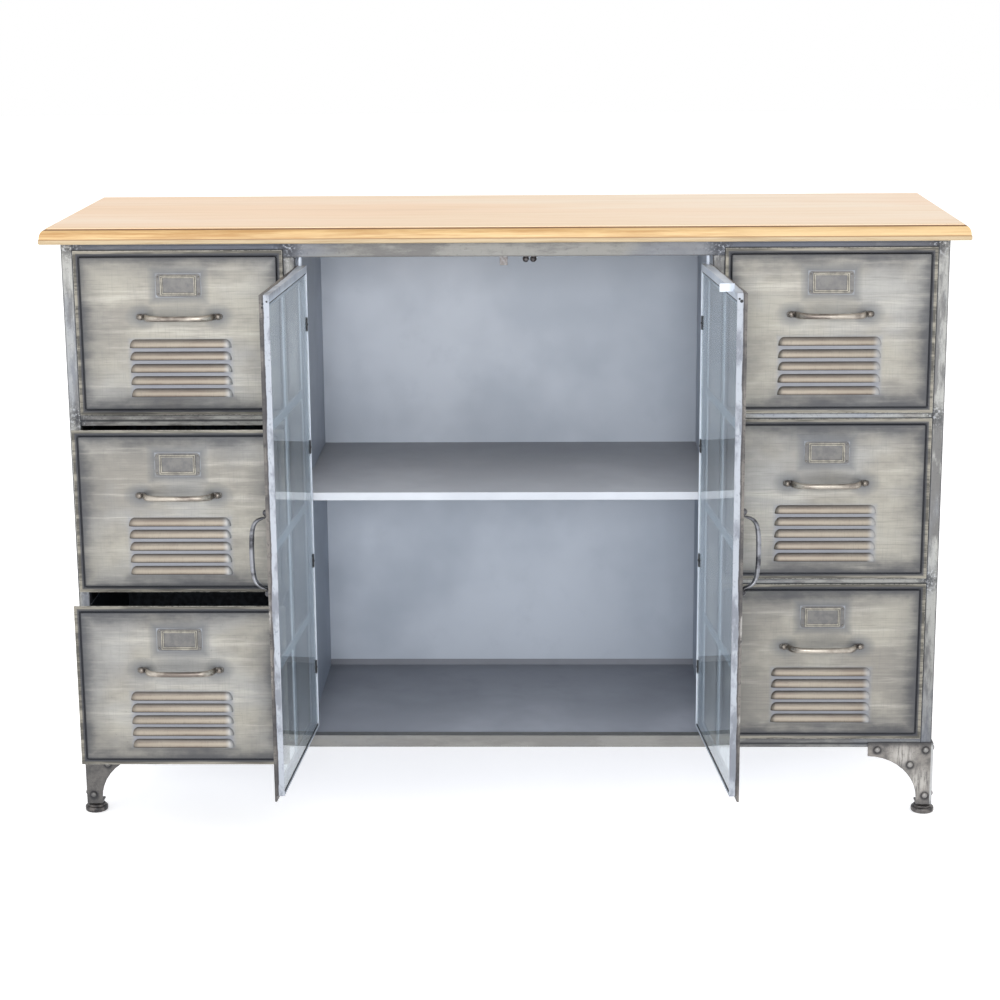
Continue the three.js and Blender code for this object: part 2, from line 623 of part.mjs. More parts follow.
// The double ball catch and the stop tab, both under the top rail.
function buildCatch(group) {
  const reach = BALL_RADIUS + CATCH_MARGIN;
  let balls = solid(boxBetween(CATCH_X - BALL_PITCH, CATCH_Y - reach, openingTop - CATCH_PLATE,
    CATCH_X + BALL_PITCH, CATCH_Y + reach, openingTop));
  for (const side of [-1, 1]) {
    balls = balls.add(solid(new THREE.SphereGeometry(BALL_RADIUS, 12, 10),
      CATCH_X + (side * BALL_PITCH) / 2, CATCH_Y, openingTop - CATCH_PLATE / 2 - BALL_RADIUS));
  }
  piece(group, 'ball_catch', geometryOf(balls), darkZinc);
  const behindDoor = DOOR_THICKNESS + FRONT_CLEARANCE;
  piece(group, 'door_stop', geometryOf(
    solid(boxBetween(-STOP_WIDTH / 2, behindDoor, openingTop - STOP_HEIGHT,
      STOP_WIDTH / 2, behindDoor + STOP_SHEET, openingTop)).add(
      solid(boxBetween(-STOP_WIDTH / 2, behindDoor - STOP_WIDTH, openingTop - STOP_SHEET,
        STOP_WIDTH / 2, behindDoor + STOP_SHEET, openingTop)))), palePaint);
}

// ---- the whole sideboard --------------------------------------------------------------------
const sideboard = new THREE.Group();
const assembly = new THREE.Group();
sideboard.add(assembly);
piece(assembly, 'wood_top', woodTop(), paleWood);
buildFrame(assembly);
buildPanels(assembly);
buildFeet(assembly);
buildCatch(assembly);
for (const [sideName, side] of [['left', -1], ['right', 1]]) {
  for (let row = 0; row < ROWS; row += 1) {
    assembly.add(buildDrawer(sideName, side, row));
  }
  assembly.add(buildDoor(sideName, -side));
}

// The origin is under the middle of the whole sideboard as it stands at rest.
sideboard.updateMatrixWorld(true);
const extent = new THREE.Box3().setFromObject(sideboard, true);
const middle = extent.getCenter(new THREE.Vector3());
assembly.position.set(-middle.x, -middle.y, -extent.min.z);
sideboard.updateMatrixWorld(true);

export default sideboard;
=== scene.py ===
"""The looks of a metal sideboard with a pale wooden top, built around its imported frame.

Metres, +Z up. The front looks along -Y and +X is to the right of someone facing it.
"""
import json
import math

import bpy
from mathutils import Matrix, Vector


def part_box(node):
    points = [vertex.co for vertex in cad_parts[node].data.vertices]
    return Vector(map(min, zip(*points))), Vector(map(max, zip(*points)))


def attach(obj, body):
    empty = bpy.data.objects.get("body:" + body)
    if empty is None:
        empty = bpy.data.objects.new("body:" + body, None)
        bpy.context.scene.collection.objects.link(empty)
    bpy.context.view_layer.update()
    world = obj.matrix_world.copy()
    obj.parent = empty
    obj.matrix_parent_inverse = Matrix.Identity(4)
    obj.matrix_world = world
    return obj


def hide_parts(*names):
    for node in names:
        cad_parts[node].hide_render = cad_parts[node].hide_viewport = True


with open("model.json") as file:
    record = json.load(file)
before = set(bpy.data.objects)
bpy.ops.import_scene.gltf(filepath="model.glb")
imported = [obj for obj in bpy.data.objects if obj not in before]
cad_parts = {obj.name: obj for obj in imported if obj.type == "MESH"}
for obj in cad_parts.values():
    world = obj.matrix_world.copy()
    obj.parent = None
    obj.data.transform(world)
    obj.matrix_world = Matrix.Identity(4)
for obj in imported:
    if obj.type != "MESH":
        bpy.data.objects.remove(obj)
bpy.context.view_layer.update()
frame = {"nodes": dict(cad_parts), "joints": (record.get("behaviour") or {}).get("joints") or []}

# ---- sizes -----------------------------------------------------------------------------------
EDGE = 0.0006                    # rounding of sheet and tube edges
TIGHT_EDGE = 0.0004

FRONT_SHEET = 0.002              # drawer fronts
FRONT_RIM = 0.007
FRONT_PROUD = 0.0015
CREASE_DEPTH = 0.0011
CREASE_WIDTH = 0.0010
CREASE_CORNER = 0.005
LOUVRES = 5
LOUVRE_LENGTH = 0.151
LOUVRE_DEPTH = 0.005
LOUVRE_BOTTOM_MARGIN = 0.0284
LOUVRE_DROP = 0.131
LOUVRE_COVER = 0.68
LOUVRE_END = 0.0085
LOUVRE_SHEET = 0.0009

LABEL_WIDTH = 0.066              # label holders
LABEL_HEIGHT = 0.034
LABEL_FRAME_WIDTH = 0.054
LABEL_FRAME_HEIGHT = 0.030
LABEL_SHEET = 0.0008
LABEL_CORNER = 0.005
LABEL_DROP = 0.034
LABEL_PIN_ACROSS = 0.030
LABEL_PIN_MARGIN = 0.0045

PULL_RIVET = 0.0046              # pulls
PULL_RIVET_ACROSS = 0.0576
PULL_FOOT_DROP = 0.0975

CLIP_LENGTH = 0.020              # doors
CLIP_WIDTH = 0.0065
CLIP_HEIGHT = 0.0014
CLIP_RISES = (0.094, 0.262, 0.438, 0.623)
SEAL = 0.0018                    # height of the seals along the glass
EDGE_WALL = 0.0026               # from the glass to the free edge's face
EDGE_SCREWS = {                  # screws in the free edge: depth, how far down, radius
    "left": ((0.0106, -0.002, 0.0016), (0.0050, 0.001, 0.0018), (0.0044, 0.006, 0.0018)),
    "right": ((0.0082, 0.000, 0.0026), (0.0110, -0.003, 0.0018)),
}

BRACKET_CORNER = (0.653, 0.1128)  # feet: a bracket's upper outer corner, across and up
BRACKET_RIVET = 0.0046
BRACKET_RIVET_OUT = 0.0034
BRACKET_RIVET_PLACES = ((0.0856, -0.011), (0.0116, -0.011), (0.035, -0.035), (0.011, -0.085))
RIVET_RING = 0.0115              # reach of the painted shade round a rivet
PAD_RINGS = ((1.0, 0.0, 0.58), (0.80, 0.50, 0.80), (0.36, 0.70, 1.0))  # width, from, to

POST_CENTRES = (0.6415, 0.315)   # the frame: its posts, and its welds as across and up
WELDS = ((0.637, 0.6245), (0.637, 0.3705), (0.637, 0.880), (0.316, 0.874))
WELD_REACH = 0.030
COLUMN_CENTRE = 0.47825          # the drawer fronts' places on the carcass
FRONT_HALF = 0.15425
FRONT_HEIGHT = 0.2455
FRONT_PITCH = 0.254
FRONTS_BOTTOM = 0.1205
CARCASS_FRONT = -0.060878

CAMERA_PLACE = Vector((0.0755, -3.3585, 1.2880))
CAMERA_LENS = 81.46
CAMERA_SENSOR = 36.0
CAMERA_YAW = math.radians(-1.448)
CAMERA_PITCH = math.radians(13.487)
CAMERA_ROLL = math.radians(-0.456)


# ---- materials -------------------------------------------------------------------------------
class Value:
    """A number that changes over a surface. Sums written with it add Math nodes."""

    def __init__(self, finish, socket):
        self.finish = finish
        self.socket = socket

    def __add__(self, other):
        return self.finish.math("ADD", self, other)

    def __radd__(self, other):
        return self.finish.math("ADD", other, self)

    def __sub__(self, other):
        return self.finish.math("SUBTRACT", self, other)

    def __rsub__(self, other):
        return self.finish.math("SUBTRACT", other, self)

    def __mul__(self, other):
        return self.finish.math("MULTIPLY", self, other)

    def __rmul__(self, other):
        return self.finish.math("MULTIPLY", other, self)

    def __truediv__(self, other):
        return self.finish.math("DIVIDE", self, other)

    def __abs__(self):
        return self.finish.math("ABSOLUTE", self)

    def smaller(self, other):
        return self.finish.math("MINIMUM", self, other)

    def larger(self, other):
        return self.finish.math("MAXIMUM", self, other)

    def rise(self, start, end):
        """0 up to start, 1 from end on, and a smooth rise between them."""
        settings = {"interpolation_type": "SMOOTHSTEP"}
        inputs = {"Value": self, "From Min": start, "From Max": end}
        return self.finish.node("ShaderNodeMapRange", settings, inputs)

    def fall(self, start, end):
        """1 up to start, 0 from end on."""
        return 1 - self.rise(start, end)


class Finish:
    """A material, and the nodes that it is made of."""

    def __init__(self, name, **constants):
        self.material = bpy.data.materials.new(name)
        self.material.use_nodes = True
        self.tree = self.material.node_tree
        self.shader = self.tree.nodes["Principled BSDF"]
        for socket, number in constants.items():
            self.shader.inputs[socket.replace("_", " ")].default_value = number

    def plug(self, socket, value):
        if isinstance(value, Value):
            self.tree.links.new(value.socket, socket)
        elif isinstance(value, tuple) and len(value) == 3 and socket.type == "RGBA":
            socket.default_value = (*value, 1.0)
        else:
            socket.default_value = value

    def node(self, kind, settings=None, inputs=None, output=0):
        """Adds a node: its settings first, then the values or links of its sockets."""
        made = self.tree.nodes.new(kind)
        for name, setting in (settings or {}).items():
            setattr(made, name, setting)
        for name, value in (inputs or {}).items():
            self.plug(made.inputs[name], value)
        return Value(self, made.outputs[output])

    def math(self, operation, *operands):
        return self.node("ShaderNodeMath", {"operation": operation}, dict(enumerate(operands)))

    def mix(self, factor, first, second):
        """A colour between two colours."""
        settings = {"data_type": "RGBA", "blend_type": "MIX"}
        return self.node("ShaderNodeMix", settings, {0: factor, 6: first, 7: second}, output=2)

    def layers(self, base, coats):
        """A colour with others laid over it one by one, each by its share."""
        for share, color in coats:
            base = self.mix(share, base, linear(*color))
        return base

    def place(self, scale=(1, 1, 1), move=(0, 0, 0), source="Object"):
        """Object coordinates, or the piece's own panel coordinates, scaled and moved."""
        if source == "Object":
            point = self.node("ShaderNodeTexCoord", output="Object")
        else:
            point = self.node("ShaderNodeUVMap", {"uv_map": source})
        return self.node("ShaderNodeMapping", None, {"Vector": point, "Scale": scale, "Location": move})

    def axes(self, source="Object"):
        """The three coordinates of a point on the surface."""
        point = self.place(source=source)
        return [self.node("ShaderNodeSeparateXYZ", None, {0: point}, output=i) for i in range(3)]

    def noise(self, scale, detail, roughness, stretch=(1, 1, 1), move=(0, 0, 0)):
        """Cloudy noise around 0.5, in cells of about 1 / scale metres, longer where stretch is under 1."""
        inputs = {
            "Vector": self.place(stretch, move),
            "Scale": scale,
            "Detail": detail,
            "Roughness": roughness,
        }
        return self.node("ShaderNodeTexNoise", None, inputs)

    def finished(self, color, roughness=None, height=None, distance=0.0):
        """The material with its colour, its roughness and bumps of height times distance."""
        self.plug(self.shader.inputs["Base Color"], color)
        if roughness is not None:
            self.plug(self.shader.inputs["Roughness"], roughness)
        if height is not None:
            raised = self.node("ShaderNodeBump", None, {"Height": height, "Distance": distance})
            self.plug(self.shader.inputs["Normal"], raised)
        return self.material


def linear(red, green, blue):
    """A linear colour from the 0 to 255 numbers of a paint chart."""
    def channel(c):
        c /= 255
        return c / 12.92 if c <= 0.04045 else ((c + 0.055) / 1.055) ** 2.4
    return (channel(red), channel(green), channel(blue))


def pale_wood_finish(top):
    """Pale straight-grained boards under a satin varnish, with a warmer moulded edge."""
    f = Finish("pale_wood", Specular_IOR_Level=0.4)
    x, y, z = f.axes()
    low, high = top
    board = f.noise(9, 2, 0.5, stretch=(0.08, 1, 1), move=(0.4, 0.1, 0))
    grain = f.noise(260, 5, 0.7, stretch=(0.035, 1, 1))
    figure = f.noise(46, 4, 0.6, stretch=(0.07, 1, 1), move=(0.3, 0.7, 0.2))
    streak = f.noise(20, 6, 0.72, stretch=(0.05, 1, 1), move=(1.3, 0.2, 0.5))
    warm = f.noise(2.6, 3, 0.5, stretch=(0.6, 1, 1), move=(2.0, 0.0, 0.0))
    base = f.mix(board.rise(0.42, 0.6), linear(236, 208, 176), linear(238, 217, 192))
    base = f.layers(base, (
        (x.rise(-0.3, 0.6) * 0.45, (243, 226, 206)),
        (warm.rise(0.46, 0.62) * 0.45, (240, 206, 176)),
        (figure.rise(0.48, 0.7) * 0.30, (222, 186, 142)),
        (streak.rise(0.56, 0.72) * 0.24, (206, 164, 118)),
        (grain.rise(0.5, 0.78) * 0.18, (188, 144, 98)),
    ))
    front_edge = (y - low.y).fall(0.012, 0.05)
    base = f.mix(front_edge * 0.35, base, linear(226, 194, 146))
    # the moulding: everything outside the flat top's edge
    from_side = (high.x - abs(x)).smaller(y - low.y)
    up = z - low.z
    moulding = from_side.fall(0.0098, 0.0104)
    under_quirk = up.fall(0.0212, 0.0217) * moulding
    ovolo = up.rise(0.0070, 0.0078) * under_quirk
    ochre = f.mix(grain.rise(0.30, 0.62), linear(204, 172, 122), linear(172, 132, 82))
    ochre = f.mix(streak.rise(0.44, 0.60) * 0.6, ochre, linear(216, 190, 144))
    base = f.mix(ovolo * 0.95, base, ochre)
    band = f.mix(grain.rise(0.4, 0.75), linear(182, 163, 133), linear(160, 137, 103))
    base = f.mix(under_quirk * (1 - ovolo), base, band)
    # painted shade: dark lines in the two creases of the moulding, near its top and above its lower band
    quirk = up.rise(0.0196, 0.0206) * up.fall(0.0214, 0.0222) * moulding
    bead = up.rise(0.0058, 0.0064) * up.fall(0.0074, 0.0080) * moulding
    base = f.layers(base, (
        (quirk * 0.9, (104, 66, 36)),
        (bead * 0.6, (140, 100, 58)),
    ))
    return f.finished(base, 0.42 + 0.16 * grain, grain * 0.5 + figure * 0.5, 0.00025)


def steel_noise(f):
    """The streaks, clouds and specks of brushed and lacquered zinc-grey steel."""
    brushed = f.noise(520, 3, 0.7, stretch=(0.03, 1, 1))
    cloud = f.noise(15, 5, 0.62, stretch=(0.6, 1, 1), move=(0.7, 0.3, 0.1))
    speck = f.noise(170, 4, 0.75)
    return brushed, cloud, speck


def frame_steel_finish(name, light, dark, blue, along):
    """Zinc-grey tube: mottled, darker low down, rough at the welds, with painted shadow round the drawer
    fronts and painted shade along the top rail's edges.
    """
    f = Finish(name, Metallic=0.5)
    x, y, z = f.axes()
    side = abs(x)
    stretch = (0.25, 1, 1) if along == "X" else (1, 1, 0.25)
    cloud = f.noise(42, 6, 0.68, stretch=stretch)
    patch = f.noise(11, 4, 0.6, stretch=stretch, move=(0.2, 0.5, 0.9))
    dapple = f.noise(210, 5, 0.8)
    scratch = f.noise(700, 2, 0.6, stretch=(0.04, 1, 1) if along == "X" else (1, 1, 0.04))
    base = f.mix(cloud.rise(0.42, 0.58), dark, light)
    base = f.mix(patch.rise(0.48, 0.62) * 0.6, base, blue)
    base = f.layers(base, (
        (dapple.rise(0.54, 0.72) * 0.5, (58, 60, 65)),
        (scratch.rise(0.60, 0.80) * 0.25, (204, 207, 210)),
        (z.fall(0.15, 0.62) * 0.5, (66, 68, 73)),
    ))
    if along == "X":
        # the top rail: blue over the drawers, grey over the doors, with painted shadow along its top under
        # the wooden top and painted shade along its lower edge
        top_rail = z.rise(0.860, 0.862)
        base = f.layers(base, (
            (top_rail * side.rise(0.27, 0.34) * 0.75, (72, 77, 90)),
            (z.fall(0.126, 0.128) * side.fall(0.30, 0.31) * 0.6, (128, 127, 124)),
            (top_rail * side.fall(0.27, 0.34) * 0.50, (88, 88, 88)),
            (z.rise(0.8815, 0.8860) * 0.70, (44, 44, 47)),
            (z.rise(0.860, 0.861) * z.fall(0.8630, 0.8655) * 0.60, (50, 50, 53)),
        ))
    else:
        outer, inner = (abs(side - centre) for centre in POST_CENTRES)
        edge = outer.smaller(inner).rise(0.0060, 0.0082)
        base = f.layers(base, (
            (edge * y.fall(-0.0595, -0.0590) * 0.75, (50, 52, 58)),
            (z.rise(0.40, 0.75) * 0.30, (92, 94, 98)),
        ))
    weld = shade_near_any(f, side, z, WELDS, WELD_REACH) * y.fall(-0.050, -0.044)
    base = f.layers(base, (
        (weld * dapple.rise(0.34, 0.56) * 0.85, (50, 52, 58)),
        (weld * dapple.fall(0.38, 0.46) * 0.6, (188, 193, 202)),
    ))
    # the shadow line round each drawer front
    rise = f.math("FRACT", (z - FRONTS_BOTTOM) / FRONT_PITCH) * FRONT_PITCH
    beside = abs(side - COLUMN_CENTRE) - FRONT_HALF
    above = (rise - FRONT_HEIGHT).smaller(FRONT_PITCH - rise)
    outside = beside.larger(above)
    facing = y.fall(CARCASS_FRONT + 0.0010, CARCASS_FRONT + 0.0015) * z.fall(0.8812, 0.8820)
    gap_shadow = outside.fall(0.0004, 0.0026) * outside.rise(-0.0024, -0.0010) * facing
    base = f.mix(gap_shadow * 0.85, base, linear(36, 38, 43))
    dents = dapple * (0.5 + weld) + scratch * 0.3
    return f.finished(base, 0.34 + 0.26 * cloud + 0.1 * dapple, dents, 0.0004)


def bracket_steel_finish():
    """The feet's riveted brackets: darker than the tubes, with painted shade round each rivet, painted
    highlights on the rivet heads and right-hand corners, painted sheen on the right and painted shade on
    the left.
    """
    f = Finish("bracket_steel", Metallic=0.5)
    x, y, z = f.axes()
    side = abs(x)
    cloud = f.noise(60, 6, 0.72)
    patch = f.noise(16, 5, 0.65, stretch=(1, 1, 0.4), move=(0.1, 0.6, 0.2))
    dapple = f.noise(260, 5, 0.8)
    brushed = f.noise(300, 3, 0.7, stretch=(1, 1, 0.12))
    base = f.mix(cloud.rise(0.34, 0.66), linear(92, 90, 89), linear(132, 128, 124))
    base = f.mix(patch.rise(0.50, 0.62) * 0.5, base, linear(74, 75, 80))
    leg, arm = ((0.632, 0.052, 0.034), (0.606, 0.094, 0.030))  # across, up, reach
    # painted sheen: lighter brushed streaks on the right-hand brackets only
    rub = shade_near(f, side, z, *leg).larger(shade_near(f, side, z, *arm))
    base = f.layers(base, (
        (rub * brushed.rise(0.30, 0.60) * x.rise(0.0, 0.1) * 0.75, (190, 187, 182)),
        (dapple.rise(0.54, 0.70) * 0.45, (48, 49, 53)),
    ))
    corner_out, corner_up = BRACKET_CORNER
    rivets = [(corner_out - inwards, corner_up + down) for inwards, down in BRACKET_RIVET_PLACES]
    # painted shade round each rivet, on the bracket's flat
    ring = shade_near_any(f, side, z, rivets, RIVET_RING)
    flat = y.rise(-0.0651, -0.0643)
    base = f.layers(base, (
        (ring.rise(0.0, 0.6) * flat * 0.85, (40, 40, 44)),
        # painted highlight on the tops of the rivet heads
        (y.fall(-0.0668, -0.0652) * 0.6, (150, 149, 148)),
    ))
    # painted highlight along the front corner of the right-hand brackets
    corner = side.rise(0.6490, 0.6500) * y.fall(-0.0625, -0.0605) * x.rise(0.0, 0.1)
    base = f.layers(base, (
        (corner * 0.7, (186, 188, 190)),
        (z.rise(0.1060, 0.1136) * 0.75, (46, 46, 50)),
        (z.fall(0.014, 0.024) * 0.5, (60, 60, 64)),
        # painted shade on the left-hand brackets
        (x.fall(-0.60, -0.58) * 0.50, (44, 45, 48)),
    ))
    return f.finished(base, 0.30 + 0.26 * cloud, dapple, 0.0004)


def panel_edge(f, half_width, height):
    """How far inside a panel's outline a point is, from its panel coordinates."""
    u, v, _ = f.axes("panel")
    return u, v, (half_width - abs(u)).smaller(v.smaller(height - v))


def shade_near(f, u, v, across, up, reach, stretch=1.0):
    """1 at a point of the panel, falling to 0 at reach from it."""
    du = (u - across) / stretch
    dv = v - up
    return f.math("SQRT", du * du + dv * dv).fall(0.0, reach)


def shade_near_any(f, u, v, places, reach):
    """1 at each of several points, falling to 0 at reach from them."""
    whole = shade_near(f, u, v, *places[0], reach)
    for across, up in places[1:]:
        whole = shade_near(f, u, v, across, up, reach).larger(whole)
    return whole


def drawer_steel_finish(width, height):
    """A pressed front: brushed along its width, warm grey in the middle, dark towards its edges and
    around the pull and the label holder."""
    f = Finish("drawer_steel", Metallic=0.5)
    u, v, inside = panel_edge(f, width / 2, height)
    brushed, cloud, speck = steel_noise(f)
    wide = f.noise(7, 3, 0.55, stretch=(0.8, 1, 1), move=(0.1, 0.8, 0.4))
    streak = f.noise(60, 5, 0.7, stretch=(0.06, 1, 1), move=(0.5, 0.1, 0.3))
    weave = f.noise(600, 2, 0.6, stretch=(1, 1, 0.05))
    base = f.mix(cloud.rise(0.36, 0.62), linear(131, 128, 122), linear(153, 150, 141))
    base = f.layers(base, (
        (wide.rise(0.46, 0.64) * 0.5, (151, 153, 155)),
        (streak.rise(0.50, 0.68) * 0.5, (181, 178, 170)),
        (brushed.rise(0.48, 0.70) * 0.35, (101, 100, 96)),
        (weave.rise(0.5, 0.75) * 0.18, (103, 105, 108)),
    ))
    ragged = inside + (cloud - 0.5) * 0.045 + (streak - 0.5) * 0.025
    base = f.layers(base, (
        (ragged.fall(0.012, 0.062) * 0.55, (96, 96, 96)),
        (ragged.fall(0.006, 0.030) * 0.80, (57, 59, 65)),
    ))
    handle_height = height - PULL_FOOT_DROP
    halo = shade_near(f, u, v, 0.0, handle_height + 0.004, 0.034, 2.4) * 0.45
    for side in (-1, 1):
        halo = halo.larger(shade_near(f, u, v, side * 0.056, handle_height, 0.026, 1.3))
    label_height = height - LABEL_DROP - LABEL_HEIGHT / 2
    near_label = (abs(u) - LABEL_WIDTH / 2).larger(abs(v - label_height) - LABEL_HEIGHT / 2)
    halo = halo.larger(near_label.fall(-0.003, 0.018) * 0.9)
    base = f.mix((halo + (streak - 0.5) * 0.5) * halo.rise(0.0, 0.3) * 0.8, base, linear(84, 88, 95))
    # painted highlight along the pressed outline round the label holder
    label_outline_highlight = near_label.fall(0.0002, 0.0014) * streak.rise(0.36, 0.56)
    base = f.mix(label_outline_highlight * 0.5, base, linear(160, 165, 175))
    zone_top = height - LOUVRE_DROP
    beside = abs(u) - LOUVRE_LENGTH / 2
    under = (LOUVRE_BOTTOM_MARGIN - v).larger(v - zone_top)
    louvre_zone = beside.larger(under).fall(-0.006, 0.005)
    base = f.mix(louvre_zone * 0.72, base, linear(126, 130, 141))
    low_shade = beside.larger(under).fall(0.0, 0.014) * v.fall(0.022, 0.034)
    base = f.mix(low_shade * 0.55, base, linear(64, 65, 71))
    rim = inside.fall(0.0066, 0.0076)
    rim_color = f.mix(streak.rise(0.42, 0.60), linear(79, 77, 72), linear(138, 134, 124))
    rim_color = f.mix(inside.rise(0.0036, 0.0052) * 0.8, rim_color, linear(53, 56, 64))
    base = f.mix(rim * 0.95, base, rim_color)
    crease = inside.rise(0.0062, 0.0072) * inside.fall(0.0092, 0.0116)
    base = f.layers(base, (
        (crease * 0.85, (36, 39, 46)),
        (inside.fall(0.0003, 0.0012) * speck.rise(0.40, 0.58) * 0.5, (175, 174, 167)),
        (speck.rise(0.62, 0.78) * 0.40, (64, 64, 68)),
    ))
    dents = brushed * 0.6 + speck * 0.25 + wide * 0.5
    return f.finished(base, 0.38 + 0.22 * cloud - 0.08 * brushed, dents, 0.00022)


def louvre_pitch(height):
    return (height - LOUVRE_DROP - LOUVRE_BOTTOM_MARGIN) / (LOUVRES - 1 + LOUVRE_COVER)


def louvre_finish(height):
    """The hoods of the louvres: tan, with painted highlight across their lower halves, painted shade over
    their tops and at their lips, and painted highlight and shade at their two ends.
    """
    f = Finish("louvre_steel", Metallic=0.5)
    u, v, _ = f.axes("panel")
    brushed, cloud, speck = steel_noise(f)
    weave = f.noise(600, 2, 0.6, stretch=(1, 1, 0.05))
    pitch = louvre_pitch(height)
    rise = f.math("FRACT", (v - LOUVRE_BOTTOM_MARGIN) / pitch)
    base = f.mix(cloud.rise(0.36, 0.62), linear(120, 109, 99), linear(139, 131, 120))
    base = f.layers(base, (
        (brushed.rise(0.46, 0.72) * 0.35, (98, 89, 80)),
        (weave.rise(0.48, 0.72) * 0.25, (91, 85, 80)),
        # painted highlight across the lower half of each hood, painted shade at its lip and painted shade
        # over its upper part
        (rise.rise(0.14, 0.20) * rise.fall(0.30, 0.44) * 0.45, (163, 155, 141)),
        (rise.fall(0.03, 0.11) * 0.85, (38, 37, 38)),
        (rise.rise(0.36, 0.66) * 0.6, (91, 90, 91)),
    ))
    # painted highlight on the right end of each hood and painted shade on its left end
    end_highlight = (u - LOUVRE_LENGTH / 2 + 0.010).rise(-0.004, 0.007)
    base = f.mix(end_highlight * 0.65, base, linear(168, 171, 175))
    end_shade = (-1 * u - LOUVRE_LENGTH / 2 + 0.008).rise(-0.003, 0.006)
    base = f.layers(base, (
        (end_shade * 0.4, (85, 82, 80)),
        (speck.rise(0.60, 0.78) * 0.35, (68, 66, 63)),
    ))
    return f.finished(base, 0.38 + 0.2 * cloud, brushed * 0.6 + speck * 0.4, 0.0002)


def bronze_finish(name, light, dark):
    """Metal of a pull in an aged bronze colour: darker the closer it comes to the sheet it stands on,
    lighter out along the bow.
    """
    f = Finish(name, Metallic=0.75)
    out = f.node("ShaderNodeAttribute", {"attribute_name": "out"}, output=2)
    rub = f.noise(55, 4, 0.6, stretch=(0.4, 1, 1))
    pit = f.noise(420, 4, 0.75)
    base = f.mix(rub.rise(0.36, 0.58), dark, light)
    base = f.layers(base, (
        (pit.rise(0.55, 0.75) * 0.55, (64, 62, 62)),
        (out.fall(0.0015, 0.0100) * 0.7, (56, 55, 58)),
    ))
    base = f.mix(out.rise(0.0030, 0.0060) * out.fall(0.0072, 0.0150) * 0.5, base, dark)
    return f.finished(base, 0.22 + 0.24 * pit, pit, 0.0002)


def label_finish():
    """The thin frame of a label holder: light on its ridges, darker on its plate, with painted shade in
    the groove between the ridges and down the raised frame's sides.
    """
    f = Finish("label_frame", Metallic=0.5)
    out = f.node("ShaderNodeAttribute", {"attribute_name": "out"}, output=2)
    rub = f.noise(90, 4, 0.6)
    pit = f.noise(500, 3, 0.7)
    base = f.mix(rub.rise(0.36, 0.62), linear(132, 129, 122), linear(164, 160, 149))
    base = f.layers(base, (
        (pit.rise(0.60, 0.80) * 0.25, (84, 84, 86)),
        (out.fall(0.0008, 0.0010) * 0.75, (82, 83, 88)),
    ))
    # painted shade in the groove between the ridges and on the raised frame's sides
    groove = out.rise(0.0010, 0.0012) * out.fall(0.0015, 0.0018)
    base = f.mix(groove * 0.9, base, linear(52, 51, 54))
    return f.finished(base, 0.32 + 0.2 * pit, pit, 0.00015)


def card_finish():
    """The blue-grey plate behind a label holder's window, smudged, with painted shade cast by the frame
    round its edges.
    """
    f = Finish("label_plate", Metallic=0.4)
    u, v, _ = f.axes("panel")
    smudge = f.noise(120, 4, 0.6, stretch=(0.5, 1, 1))
    fine = f.noise(900, 3, 0.7, stretch=(0.05, 1, 1))
    base = f.mix(smudge.rise(0.36, 0.62), linear(56, 60, 69), linear(86, 90, 99))
    worn = shade_near(f, u, v, 0.002, LABEL_HEIGHT / 2, 0.0085, 2.0)
    base = f.layers(base, (
        (worn * smudge.rise(0.3, 0.6) * 0.5, (146, 143, 134)),
        (fine.rise(0.5, 0.75) * 0.3, (88, 92, 98)),
    ))
    # painted shade cast by the frame round the window's edges
    border = (LABEL_FRAME_HEIGHT / 2 - 0.0043 - abs(v - LABEL_HEIGHT / 2)).smaller(0.0227 - abs(u))
    base = f.mix(border.fall(0.0, 0.0024) * 0.8, base, linear(46, 49, 58))
    return f.finished(base, 0.42 + 0.2 * smudge, fine, 0.0001)


def paint_finish(name, light, dark, roughness, mottle=0.5, shaded=None):
    """Smooth sprayed paint, a little cloudy, with a fine orange peel. Shaded holds an axis, where
    the shade starts and ends along it, how strong it is and its colour."""
    f = Finish(name, Specular_IOR_Level=0.4)
    cloud = f.noise(3.2, 4, 0.55)
    smear = f.noise(22, 5, 0.62, move=(0.3, 0.2, 0.9))
    peel = f.noise(850, 2, 0.5)
    base = f.mix(cloud.rise(0.36, 0.64), dark, light)
    base = f.mix(smear.rise(0.5, 0.74) * mottle * 0.5, base, dark)
    for axis, start, end, strength, shade in shaded or ():
        base = f.mix(f.axes()[axis].rise(start, end) * strength, base, shade)
    return f.finished(base, roughness + 0.12 * smear, peel, 0.00008)


